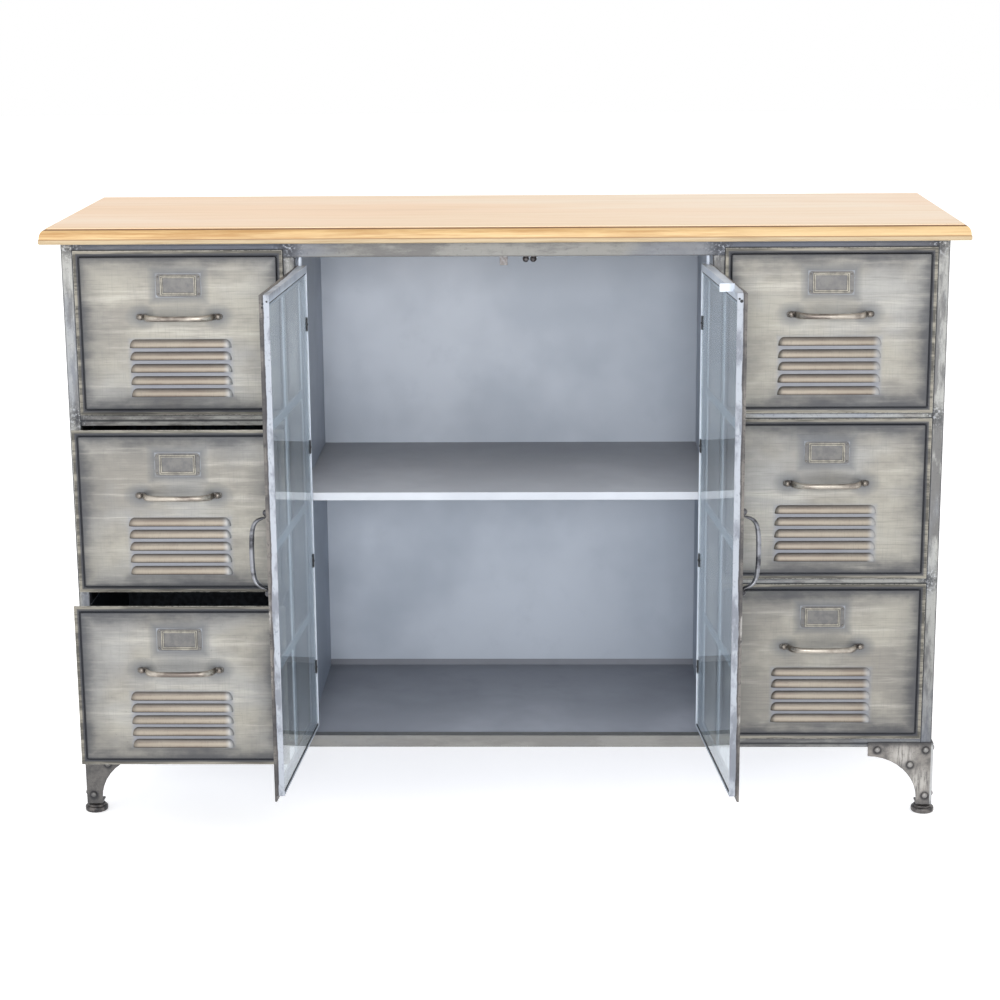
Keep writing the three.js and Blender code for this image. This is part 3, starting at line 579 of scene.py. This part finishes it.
def door_steel_finish():
    """A door frame: pale paint inside, and zinc-grey steel, dark and worn, on its outer face."""
    f = Finish("door_steel", Metallic=0.25)
    depth = f.node("ShaderNodeAttribute", {"attribute_name": "inward"}, output=2)
    free = f.node("ShaderNodeAttribute", {"attribute_name": "free"}, output=2)
    _, cloud, speck = steel_noise(f)
    chip = f.noise(26, 5, 0.7, stretch=(1, 1, 0.5))
    outer = f.mix(cloud.rise(0.36, 0.62), linear(58, 57, 59), linear(108, 104, 100))
    outer = f.layers(outer, (
        (speck.rise(0.50, 0.66) * 0.6, (38, 38, 42)),
        (chip.rise(0.60, 0.67) * 0.6, (170, 168, 166)),
    ))
    inner = f.mix(cloud.rise(0.40, 0.64), linear(182, 191, 204), linear(198, 206, 216))
    inner = f.mix(speck.rise(0.60, 0.80) * 0.30, inner, linear(150, 158, 170))
    worn = f.mix(chip.rise(0.46, 0.60), linear(150, 155, 164), linear(98, 101, 110))
    worn = f.mix(speck.rise(0.56, 0.70) * 0.6, worn, linear(60, 60, 66))
    inner = f.mix(free * 0.85, inner, worn)
    # painted reflection: the muntins, in pale paint, made brighter still where the glass over them would
    # add its reflection
    inner = f.mix(depth.rise(0.022, 0.028) * 0.8, inner, linear(222, 230, 238))
    painted = (depth + (chip - 0.5) * 0.007 + (cloud - 0.5) * 0.002).rise(0.0052, 0.0062)
    seam = (depth + (chip - 0.5) * 0.007).rise(0.0028, 0.0040) * (1 - painted)
    base = f.mix(painted, outer, inner)
    base = f.mix(seam * 0.6, base, linear(46, 44, 50))
    return f.finished(base, 0.36 + 0.2 * cloud, speck, 0.00012)


def glass_finish():
    """Clear flat glass with faint smears."""
    f = Finish("door_glass", Transmission_Weight=0.93, IOR=1.5)
    smear = f.noise(14, 4, 0.6, stretch=(1, 1, 0.4))
    tint = f.mix(smear.rise(0.3, 0.7), linear(232, 241, 246), linear(222, 234, 240))
    return f.finished(tint, smear.rise(0.45, 0.8) * 0.05 + 0.01)


def plain_finish(name, light, dark, roughness, metal):
    """A small part's finish: two shades in patches, with a fine tooth."""
    f = Finish(name, Metallic=metal)
    patch = f.noise(120, 4, 0.6)
    tooth = f.noise(900, 3, 0.7)
    base = f.mix(patch.rise(0.36, 0.64), dark, light)
    return f.finished(base, roughness + 0.18 * tooth, tooth, 0.0001)


# ---- modelling -------------------------------------------------------------------------------
def pick(piece):
    bpy.ops.object.select_all(action="DESELECT")
    piece.hide_viewport = False
    piece.select_set(True)
    bpy.context.view_layer.objects.active = piece


def settle(piece):
    """Writes a piece's place, turn and size into its mesh."""
    pick(piece)
    bpy.ops.object.transform_apply(location=True, rotation=True, scale=True)


def block(name, low, high):
    """A box between two corners, to be shaped further."""
    low, high = Vector(low), Vector(high)
    bpy.ops.mesh.primitive_cube_add(size=1, location=(low + high) / 2)
    piece = bpy.context.object
    piece.name = name
    piece.scale = high - low
    settle(piece)
    return piece


def open_piece(piece, mode, parts, chosen):
    """Opens a piece for editing with only those of its points or faces selected that are chosen."""
    pick(piece)
    bpy.context.tool_settings.mesh_select_mode = mode
    mesh = piece.data
    for elements in (mesh.vertices, mesh.edges, mesh.polygons):
        elements.foreach_set("select", [False] * len(elements))
    for part in parts:
        part.select = chosen(part)
    bpy.ops.object.mode_set(mode="EDIT")


def open_faces(piece, chosen):
    """Opens a piece for editing with the faces selected that a test of centre and normal picks."""
    open_piece(piece, (False, False, True), piece.data.polygons,
               lambda face: chosen(face.center, face.normal))


def open_points(piece, chosen):
    """Opens a piece for editing with the points selected that a test of place picks."""
    open_piece(piece, (True, False, False), piece.data.vertices, lambda point: chosen(point.co))


def close():
    bpy.ops.object.mode_set(mode="OBJECT")


def work(piece, operator, **settings):
    """Runs one edit operator on the whole of a piece."""
    open_faces(piece, everything)
    operator(**settings)
    close()


def everything(*_):
    return True


def modify(piece, kind, **settings):
    """Adds a modifier and applies it."""
    modifier = piece.modifiers.new(kind.lower(), kind)
    for name, setting in settings.items():
        setattr(modifier, name, setting)
    pick(piece)
    bpy.ops.object.modifier_apply(modifier=modifier.name)


def smooth(piece, degrees=35):
    pick(piece)
    bpy.ops.object.shade_smooth_by_angle(angle=math.radians(degrees))


def round_edges(piece, width, segments=2, degrees=28):
    """Rounds a piece's sharp edges, and keeps its flat faces flat in the shading."""
    modify(piece, "BEVEL", width=width, segments=segments, limit_method="ANGLE",
           angle_limit=math.radians(degrees))
    smooth(piece, 40)
    modify(piece, "WEIGHTED_NORMAL", keep_sharp=True)


def copied(piece, name, matrix=None):
    """A copy with its own mesh, moved and turned in its mesh."""
    copy = piece.copy()
    copy.data = piece.data.copy()
    copy.name = name
    bpy.context.scene.collection.objects.link(copy)
    if matrix is not None:
        copy.data.transform(matrix)
    return copy


def joined(name, pieces):
    bpy.ops.object.select_all(action="DESELECT")
    for piece in pieces:
        piece.select_set(True)
    bpy.context.view_layer.objects.active = pieces[0]
    bpy.ops.object.join()
    whole = bpy.context.object
    whole.name = name
    return whole


def merged_copy(node, name):
    """A CAD piece's shape as a new piece, with its doubles merged and its flat faces whole."""
    piece = bpy.data.objects.new(name, frame["nodes"][node].data.copy())
    bpy.context.scene.collection.objects.link(piece)
    piece.data.materials.clear()
    work(piece, bpy.ops.mesh.remove_doubles, threshold=0.00002)
    work(piece, bpy.ops.mesh.dissolve_limited, angle_limit=math.radians(1))
    return piece


def paint_number(piece, name, value_at):
    """Keeps a number for each point of a piece, for its finish to read."""
    numbers = piece.data.attributes.new(name, "FLOAT", "POINT")
    numbers.data.foreach_set("value", [value_at(point.co) for point in piece.data.vertices])


def map_panel(piece):
    """Lays out a piece by its own X and Z, for its finish to read."""
    bare_of_maps(piece)
    layer = piece.data.uv_layers.new(name="panel")
    for loop in piece.data.loops:
        point = piece.data.vertices[loop.vertex_index].co
        layer.data[loop.index].uv = (point.x, point.z)


def bare_of_maps(piece):
    while piece.data.uv_layers:
        piece.data.uv_layers.remove(piece.data.uv_layers[0])


def press(piece, rings):
    """Insets a piece's largest forward face again and again, each by a width and a rise."""
    for width, rise in rings:
        forward = [face for face in piece.data.polygons if face.normal.y < -0.9]
        middle = max(forward, key=lambda face: face.area).center.copy()
        open_faces(piece, lambda centre, normal: (centre - middle).length < 0.00001)
        bpy.ops.mesh.inset(thickness=width, depth=rise)
        close()


def coat(piece, material):
    piece.data.materials.clear()
    piece.data.materials.append(material)


def stand_for(piece, node, body):
    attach(piece, body)
    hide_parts(node)


def rounded_copy(node, body, material, width=EDGE, segments=2):
    """Stands for a CAD piece with its own shape and softened edges."""
    piece = merged_copy(node, node + "_finished")
    round_edges(piece, width, segments)
    coat(piece, material)
    stand_for(piece, node, body)
    return piece


def drop(*pieces):
    for piece in pieces:
        bpy.data.objects.remove(piece)


# ---- the wooden top ----------------------------------------------------------------------------
def build_top():
    low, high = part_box("wood_top")
    piece = merged_copy("wood_top", "wood_top_finished")
    round_edges(piece, TIGHT_EDGE, 2, 40)
    coat(piece, pale_wood_finish((low, high)))
    stand_for(piece, "wood_top", "carcass")


# ---- the carcass -------------------------------------------------------------------------------
def build_carcass():
    light, dark, blue = linear(178, 178, 174), linear(112, 111, 110), linear(142, 149, 162)
    rail_steel = frame_steel_finish("rail_steel", linear(158, 158, 154), dark, linear(128, 136, 152), "X")
    post_steel = frame_steel_finish("post_steel", light, dark, blue, "Z")
    side_steel = frame_steel_finish("side_steel", linear(146, 145, 142), linear(122, 121, 120),
                                    linear(130, 134, 142), "Z")
    ends = [(end, side) for end in ("front", "back") for side in ("left", "right")]
    for end, side in ends:
        rounded_copy(f"corner_post_{end}_{side}", "carcass", post_steel)
    for side in ("left", "right"):
        rounded_copy(f"centre_post_{side}", "carcass", post_steel)
        rounded_copy(f"side_panel_{side}", "carcass", side_steel, TIGHT_EDGE)
        for row in (1, 2):
            rounded_copy(f"drawer_rail_{side}_{row}", "carcass", rail_steel)
    for height in ("top", "bottom"):
        rounded_copy(f"front_rail_{height}", "carcass", rail_steel)

    wall = paint_finish("wall_paint", linear(158, 167, 181), linear(136, 146, 160), 0.42)
    # painted shade: the back panel darker towards the right
    away = (0, 0.02, 0.30, 0.45, linear(140, 150, 164))
    back = paint_finish("back_paint", linear(190, 198, 210), linear(168, 177, 190), 0.42, shaded=(away,))
    # painted shade: the floor and the shelf darker towards the back
    back_shade = (1, -0.06, 0.30, 0.72, linear(92, 95, 104))
    floor = paint_finish("floor_paint", linear(190, 194, 204), linear(164, 168, 178), 0.40, 0.8, (back_shade,))
    shelf = paint_finish("shelf_paint", linear(204, 209, 217), linear(184, 189, 198), 0.36, 0.6, (back_shade,))
    tab = plain_finish("stop_steel", linear(150, 150, 152), linear(104, 98, 96), 0.4, 0.4)
    for side in ("left", "right"):
        rounded_copy(f"partition_{side}", "carcass", wall, TIGHT_EDGE)
    rounded_copy("back_panel", "carcass", back, TIGHT_EDGE)
    rounded_copy("floor_panel", "carcass", floor, TIGHT_EDGE)
    rounded_copy("shelf", "carcass", shelf, TIGHT_EDGE)
    rounded_copy("door_stop", "carcass", tab, TIGHT_EDGE)


def dome(name, place, radius, out, turn=None):
    """A rivet's head that stands out from place along -Y, or along -Y turned."""
    bpy.ops.mesh.primitive_uv_sphere_add(segments=20, ring_count=12, radius=1)
    head = bpy.context.object
    head.name = name
    head.scale = (radius, out, radius)
    settle(head)
    work(head, bpy.ops.mesh.bisect, plane_co=(0, out * 0.3, 0), plane_no=(0, 1, 0),
         clear_outer=True, use_fill=True)
    smooth(head, 50)
    if turn is not None:
        head.data.transform(turn)
    head.data.transform(Matrix.Translation(place))
    return head


def build_feet(steel):
    dark = plain_finish("pad_steel", linear(104, 100, 98), linear(50, 49, 51), 0.30, 0.5)
    for end, facing in (("front", -1), ("back", 1)):
        for side_name, side in (("left", -1), ("right", 1)):
            node = f"foot_bracket_{end}_{side_name}"
            low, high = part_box(node)
            corner = Vector((high.x if side > 0 else low.x, high.y if facing > 0 else low.y, high.z))
            bracket = merged_copy(node, node + "_finished")
            round_edges(bracket, EDGE)
            heads = []
            for inwards, down in BRACKET_RIVET_PLACES:
                front = corner + Vector((-side * inwards, 0, down))
                beside = corner + Vector((0, -facing * inwards, down))
                about = math.pi if facing > 0 else 0
                for place, turn in ((front, about), (beside, side * math.pi / 2)):
                    heads.append(dome("rivet", place, BRACKET_RIVET, BRACKET_RIVET_OUT,
                                      Matrix.Rotation(turn, 4, "Z")))
            whole = joined(node + "_riveted", [bracket] + heads)
            coat(whole, steel)
            stand_for(whole, node, "carcass")
            build_pad(f"foot_pad_{end}_{side_name}", dark)


def build_pad(node, finish):
    """A turned pad: a thick disc, a narrower collar on it and the stem up to the bracket."""
    low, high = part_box(node)
    middle = (low + high) / 2
    whole_radius = (high.x - low.x) / 2
    rings = []
    for share, start, end in PAD_RINGS:
        radius = whole_radius * share
        bottom, top = (low.z + (high.z - low.z) * part for part in (start, end))
        bpy.ops.mesh.primitive_cylinder_add(vertices=48, radius=radius, depth=top - bottom,
                                            location=(middle.x, middle.y, (bottom + top) / 2))
        ring = bpy.context.object
        settle(ring)
        round_edges(ring, min(0.0022, (top - bottom) * 0.3), 3)
        rings.append(ring)
    whole = joined(node + "_turned", rings)
    coat(whole, finish)
    stand_for(whole, node, "carcass")


def build_catch():
    low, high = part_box("ball_catch")
    middle = (low + high) / 2
    plate_sheet, radius, pitch = 0.002, 0.0048, 0.0112
    plate = block("catch_plate", (low.x, low.y, high.z - plate_sheet), high)
    round_edges(plate, TIGHT_EDGE)
    parts = [plate]
    for side in (-1, 1):
        centre = Vector((middle.x + side * pitch / 2, middle.y, low.z + radius - 0.0008))
        bpy.ops.mesh.primitive_uv_sphere_add(segments=24, ring_count=16, radius=radius, location=centre)
        ball = bpy.context.object
        settle(ball)
        smooth(ball, 60)
        bpy.ops.mesh.primitive_cylinder_add(vertices=24, radius=radius * 0.8, depth=radius * 0.7,
                                            location=centre + Vector((0, 0, radius * 0.6)))
        collar = bpy.context.object
        settle(collar)
        round_edges(collar, TIGHT_EDGE)
        parts += [ball, collar]
    catch = joined("ball_catch_finished", parts)
    coat(catch, plain_finish("catch_steel", linear(96, 92, 92), linear(52, 50, 52), 0.22, 0.8))
    stand_for(catch, "ball_catch", "carcass")


# ---- drawers -----------------------------------------------------------------------------------
def louvre_hood(height):
    """A pressed hood, a quarter-round bar with round ends, open along its lower lip."""
    bpy.ops.mesh.primitive_uv_sphere_add(segments=24, ring_count=12, radius=1,
                                         rotation=(0, math.pi / 2, 0))
    hood = bpy.context.object
    settle(hood)
    for direction in ((0, 1, 0), (0, 0, -1), (1, 0, 0)):
        work(hood, bpy.ops.mesh.bisect, plane_co=(0, 0, 0), plane_no=direction, clear_outer=True)
    seam = -LOUVRE_LENGTH / 2 + LOUVRE_END
    hood.scale = (LOUVRE_END, LOUVRE_DEPTH, height)
    hood.location.x = seam
    settle(hood)
    open_points(hood, lambda co: co.x > seam - 0.00001)
    bpy.ops.mesh.extrude_region_move(TRANSFORM_OT_translate={"value": (-seam, 0, 0)})
    close()
    modify(hood, "MIRROR", merge_threshold=0.00001)
    work(hood, bpy.ops.mesh.remove_doubles, threshold=0.00001)
    work(hood, bpy.ops.mesh.normals_make_consistent, inside=False)
    if sum(face.normal.y * face.area for face in hood.data.polygons) > 0:
        work(hood, bpy.ops.mesh.flip_normals)
    modify(hood, "SOLIDIFY", thickness=LOUVRE_SHEET, offset=-1)
    smooth(hood, 50)
    return hood


def front_template(width, height):
    """A pressed drawer front about the middle of its lower back edge: a flat rim, a crease with
    rounded corners, a raised field and five louvres."""
    half = width / 2
    front = block("drawer_front", (-half, -FRONT_SHEET, 0), (half, 0, height))
    open_faces(front, lambda centre, normal: normal.y < -0.9)
    bpy.ops.mesh.inset(thickness=FRONT_RIM)
    close()
    inner = half - FRONT_RIM + 0.0001
    open_points(front, lambda co: co.y < -FRONT_SHEET + 0.0001 and abs(co.x) < inner)
    bpy.ops.mesh.bevel(affect="VERTICES", offset=CREASE_CORNER, segments=5)
    close()
    press(front, ((0.0004, -CREASE_DEPTH), (CREASE_WIDTH, 0), (0.0014, CREASE_DEPTH + FRONT_PROUD)))
    round_edges(front, TIGHT_EDGE, 2, 24)

    pitch = louvre_pitch(height)
    hood = louvre_hood(pitch * LOUVRE_COVER)
    hoods = []
    for i in range(LOUVRES):
        place = Vector((0, -FRONT_SHEET - FRONT_PROUD, LOUVRE_BOTTOM_MARGIN + i * pitch))
        hoods.append(copied(hood, "louvre", Matrix.Translation(place)))
    drop(hood)
    coat(front, drawer_steel_finish(width, height))
    louvre_steel = louvre_finish(height)
    for hood in hoods:
        coat(hood, louvre_steel)
    whole = joined("drawer_front", [front] + hoods)
    map_panel(whole)
    return whole


def pull_template(finish):
    """A bowed pull about the middle of its two feet: it runs along X and stands out along -Y."""
    stations = (
        # along, out, turn in degrees, half thickness, half height
        (-0.0640, -0.0008, 0, 0.0006, 0.0022),
        (-0.0628, -0.0010, 0, 0.0010, 0.0040),
        (-0.0576, -0.0011, 0, 0.0011, 0.0050),
        (-0.0525, -0.0013, 0, 0.0013, 0.0046),
        (-0.0508, -0.0032, -55, 0.0016, 0.0050),
        (-0.0494, -0.0080, -72, 0.0021, 0.0053),
        (-0.0470, -0.0140, -62, 0.0027, 0.0050),
        (-0.0405, -0.0198, -34, 0.0034, 0.0046),
        (-0.0260, -0.0226, -9, 0.0037, 0.0041),
        (0.0, -0.0233, 0, 0.0037, 0.0040),
    )
    along, out, turn, thick, high = stations[0]
    bpy.ops.mesh.primitive_circle_add(vertices=12, radius=1, fill_type="NGON",
                                      location=(along, out, 0), rotation=(0, math.pi / 2, 0))
    pull = bpy.context.object
    settle(pull)
    open_faces(pull, everything)
    bpy.ops.transform.resize(value=(1, thick, high), center_override=(along, out, 0))
    for next_along, next_out, next_turn, next_thick, next_high in stations[1:]:
        step = (next_along - along, next_out - out, 0)
        bpy.ops.mesh.extrude_region_move(TRANSFORM_OT_translate={"value": step})
        centre = (next_along, next_out, 0)
        bpy.ops.transform.rotate(value=math.radians(turn), orient_axis="Z", center_override=centre)
        bpy.ops.transform.resize(value=(1, next_thick / thick, next_high / high), center_override=centre)
        bpy.ops.transform.rotate(value=-math.radians(next_turn), orient_axis="Z", center_override=centre)
        along, out, turn, thick, high = next_along, next_out, next_turn, next_thick, next_high
    bpy.ops.mesh.delete(type="FACE")
    close()
    modify(pull, "MIRROR", merge_threshold=0.00002)
    work(pull, bpy.ops.mesh.remove_doubles, threshold=0.00001)
    work(pull, bpy.ops.mesh.normals_make_consistent, inside=False)
    modify(pull, "SUBSURF", levels=1, render_levels=1)
    smooth(pull, 70)
    heads = [dome("rivet", Vector((side * PULL_RIVET_ACROSS, -0.0020, 0)), PULL_RIVET, 0.0042)
             for side in (-1, 1)]
    whole = joined("pull", [pull] + heads)
    bare_of_maps(whole)
    paint_number(whole, "out", lambda co: -co.y)
    coat(whole, finish)
    return whole


def label_template(frame_metal, plate_metal):
    """A label holder about the middle of its lower back edge: a thin plate with rounded corners and
    four pins, and on it a ridged frame round a sunken window."""
    bpy.ops.mesh.primitive_plane_add(size=1, location=(0, 0, LABEL_HEIGHT / 2),
                                     rotation=(math.pi / 2, 0, 0))
    plate = bpy.context.object
    plate.scale = (LABEL_WIDTH, LABEL_HEIGHT, 1)
    settle(plate)
    open_points(plate, everything)
    bpy.ops.mesh.bevel(affect="VERTICES", offset=LABEL_CORNER, segments=5)
    close()
    modify(plate, "SOLIDIFY", thickness=LABEL_SHEET, offset=1)
    round_edges(plate, 0.0003, 2, 40)

    half = LABEL_FRAME_WIDTH / 2
    margin = (LABEL_HEIGHT - LABEL_FRAME_HEIGHT) / 2
    holder = block("label_holder", (-half, -0.0012, margin), (half, 0, LABEL_HEIGHT - margin))
    press(holder, ((0.0005, 0.0007), (0.0012, 0), (0.0003, -0.0005), (0.0005, 0), (0.0003, 0.0005),
                   (0.0012, 0), (0.0004, -0.0012)))
    forward = [face for face in holder.data.polygons if face.normal.y < -0.9]
    window = max(forward, key=lambda face: face.area).center.copy()
    round_edges(holder, 0.00015, 2, 24)
    parts = [plate, holder]
    for side in (-1, 1):
        for rise in (LABEL_PIN_MARGIN, LABEL_HEIGHT - LABEL_PIN_MARGIN):
            place = Vector((side * LABEL_PIN_ACROSS, -LABEL_SHEET, rise))
            parts.append(dome("pin", place, 0.0013, 0.0010))
    for part in parts:
        coat(part, frame_metal)
    holder.data.materials.append(plate_metal)
    for face in holder.data.polygons:
        away = face.center - window
        if face.normal.y < -0.9 and abs(away.y) < 0.0001 and away.length < 0.01:
            face.material_index = 1
    whole = joined("label_holder", parts)
    map_panel(whole)
    paint_number(whole, "out", lambda co: -co.y)
    return whole


def build_drawers(pull, label):
    box_paint = plain_finish("box_paint", linear(58, 64, 74), linear(36, 40, 48), 0.4, 0.2)
    low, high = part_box("drawer_left_1_front")
    front = front_template(high.x - low.x, high.z - low.z)
    for side in ("left", "right"):
        for row in (1, 2, 3):
            body = f"drawer_{side}_{row}"
            low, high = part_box(body + "_front")
            place = Vector(((low.x + high.x) / 2, high.y, low.z))
            piece = copied(front, body + "_pressed_front", Matrix.Translation(place))
            stand_for(piece, body + "_front", body)
            field = high.y - FRONT_SHEET - FRONT_PROUD

            low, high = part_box(body + "_handle")
            place = Vector(((low.x + high.x) / 2, field, (low.z + high.z) / 2))
            piece = copied(pull, body + "_pull", Matrix.Translation(place))
            stand_for(piece, body + "_handle", body)

            low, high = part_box(body + "_label_holder")
            place = Vector(((low.x + high.x) / 2, field, low.z))
            piece = copied(label, body + "_label_frame", Matrix.Translation(place))
            stand_for(piece, body + "_label_holder", body)

            rounded_copy(body + "_box", body, box_paint, TIGHT_EDGE)
    drop(front)


# ---- doors -------------------------------------------------------------------------------------
def opening_turn(body):
    """Takes a door from shut to where it stands open at rest."""
    hinge = next(joint for joint in frame["joints"] if joint["child"] == body)
    pivot = Vector(hinge["pos_m"])
    turn = Matrix.Rotation(-math.radians(hinge["range_deg"][1]), 4, Vector(hinge["axis"]))
    return Matrix.Translation(pivot) @ turn @ Matrix.Translation(-pivot)


def shut_box(node, turn):
    back = turn.inverted()
    points = [back @ vertex.co for vertex in frame["nodes"][node].data.vertices]
    low = Vector([min(point[i] for point in points) for i in range(3)])
    high = Vector([max(point[i] for point in points) for i in range(3)])
    return low, high


def build_door(side, steel, glass, clip_finish, pull, grip):
    body = f"door_{side}"
    turn = opening_turn(body)
    node = body + "_frame"
    piece = merged_copy(node, node + "_finished")
    round_edges(piece, TIGHT_EDGE)
    coat(piece, steel)
    shut = turn.inverted()
    low, high = shut_box(node, turn)
    hinge_side = -1 if side == "left" else 1

    def inward(point):
        """The depth behind the outer face, and more where the point is inside the outline."""
        place = shut @ point
        depth = place.y - low.y
        inside = min(place.x - low.x, high.x - place.x, high.z - place.z)
        if depth < 0.0012 or inside < 0.0012:
            return depth
        # the muntins get 0.030, which their finish reads to paint them brighter as a painted reflection of
        # the glass over them
        return 0.030 if inside > 0.018 and depth < 0.005 else depth + 0.006

    free_side = high.x if hinge_side < 0 else low.x
    paint_number(piece, "inward", inward)
    paint_number(piece, "free", lambda co: 1.0 if abs((shut @ co).x - free_side) < 0.0002 else 0.0)
    stand_for(piece, node, body)

    node = body + "_glass"
    rounded_copy(node, body, glass, TIGHT_EDGE)
    glass_low, glass_high = shut_box(node, turn)

    node = body + "_handle"
    low, high = shut_box(node, turn)
    place = Vector(((low.x + high.x) / 2, high.y, (low.z + high.z) / 2))
    upright = Matrix.Rotation(math.pi / 2, 4, "Y")
    piece = copied(pull, body + "_pull", turn @ Matrix.Translation(place) @ upright)
    coat(piece, grip)
    stand_for(piece, node, body)

    stile = glass_low.x if hinge_side < 0 else glass_high.x
    near, far = sorted((stile, stile - hinge_side * CLIP_WIDTH))
    clips = []
    for rise in CLIP_RISES:
        height = glass_low.z + rise
        clip = block("glass_clip", (near, glass_high.y, height - CLIP_LENGTH / 2),
                     (far, glass_high.y + CLIP_HEIGHT, height + CLIP_LENGTH / 2))
        round_edges(clip, 0.0005, 2)
        place = Vector(((near + far) / 2, glass_high.y + CLIP_HEIGHT, height))
        clips += [clip, dome("screw", place, 0.0020, 0.0010, Matrix.Rotation(math.pi, 4, "Z"))]
    for height in (glass_low.z, glass_high.z):
        seal_end = height + (SEAL if height == glass_low.z else -SEAL)
        low_z, high_z = sorted((height, seal_end))
        seal = block("glass_seal", (glass_low.x, glass_high.y, low_z),
                     (glass_high.x, glass_high.y + CLIP_HEIGHT / 2, high_z))
        round_edges(seal, 0.0003, 2)
        clips.append(seal)
    free_edge = glass_high.x + EDGE_WALL if hinge_side < 0 else glass_low.x - EDGE_WALL
    sideways = Matrix.Rotation(-hinge_side * math.pi / 2, 4, "Z")
    for depth, drop_down, radius in EDGE_SCREWS[side]:
        place = Vector((free_edge, CARCASS_FRONT + depth, glass_high.z - drop_down))
        clips.append(dome("edge_screw", place, radius, 0.0004, sideways))
    whole = joined(body + "_glass_clips", clips)
    bare_of_maps(whole)
    whole.data.transform(turn)
    coat(whole, clip_finish)
    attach(whole, body)


# ---- floor, light and camera -------------------------------------------------------------------
def build_stage():
    bpy.ops.mesh.primitive_plane_add(size=24, location=(0, 4, 0))
    floor = bpy.context.object
    floor.name = "studio_floor"
    pale = Finish("studio_white", Roughness=0.9, Specular_IOR_Level=0.1, Emission_Strength=0.45)
    pale.shader.inputs["Emission Color"].default_value = (1.0, 1.0, 1.0, 1.0)
    cloud = pale.noise(0.4, 2, 0.5)
    coat(floor, pale.finished(pale.mix(cloud, linear(250, 250, 250), linear(246, 246, 247))))

    world = bpy.data.worlds.new("studio")
    bpy.context.scene.world = world
    world.use_nodes = True
    sky = world.node_tree.nodes["Background"]
    sky.inputs["Color"].default_value = (1.0, 1.0, 1.0, 1.0)
    sky.inputs["Strength"].default_value = 1.0

    lamps = (
        # name, place, looks at, size, watts
        ("front", (0.0, -4.2, 1.35), (0, 0, 0.55), 1.4, 75),
        ("left", (-2.2, -3.0, 2.0), (0, 0, 0.5), 1.6, 14),
    )
    for name, place, target, size, watts in lamps:
        light = bpy.data.lights.new(name, "AREA")
        light.size = size
        light.energy = watts
        lamp = bpy.data.objects.new(name, light)
        bpy.context.scene.collection.objects.link(lamp)
        lamp.location = place
        lamp.rotation_euler = (Vector(target) - Vector(place)).to_track_quat("-Z", "Y").to_euler()


def build_camera():
    sin, cos = math.sin, math.cos
    forward = Vector((sin(CAMERA_YAW) * cos(CAMERA_PITCH), cos(CAMERA_YAW) * cos(CAMERA_PITCH),
                      -sin(CAMERA_PITCH)))
    level = Vector((cos(CAMERA_YAW), -sin(CAMERA_YAW), 0))
    upright = level.cross(forward)
    right = level * cos(CAMERA_ROLL) + upright * sin(CAMERA_ROLL)
    up = upright * cos(CAMERA_ROLL) - level * sin(CAMERA_ROLL)
    turn = Matrix((right, up, -forward)).transposed().to_4x4()
    lens = bpy.data.cameras.new("camera")
    lens.sensor_width = CAMERA_SENSOR
    lens.lens = CAMERA_LENS
    lens.clip_start, lens.clip_end = 0.1, 100
    camera = bpy.data.objects.new("camera", lens)
    bpy.context.scene.collection.objects.link(camera)
    camera.matrix_world = Matrix.Translation(CAMERA_PLACE) @ turn
    bpy.context.scene.camera = camera


# ---- the whole ---------------------------------------------------------------------------------
build_camera()
build_stage()
build_top()
build_carcass()
build_feet(bracket_steel_finish())
build_catch()

bronze = bronze_finish("aged_bronze", linear(174, 167, 157), linear(112, 104, 98))
grip = bronze_finish("dark_grip", linear(132, 134, 140), linear(62, 63, 68))
pull = pull_template(bronze)
label = label_template(label_finish(), card_finish())
build_drawers(pull, label)
door_steel = door_steel_finish()
door_glass = glass_finish()
clip_black = plain_finish("clip_black", linear(40, 41, 44), linear(22, 23, 26), 0.5, 0.1)
for door_side in ("left", "right"):
    build_door(door_side, door_steel, door_glass, clip_black, pull, grip)
drop(pull, label)

bpy.context.scene.view_settings.view_transform = "Standard"
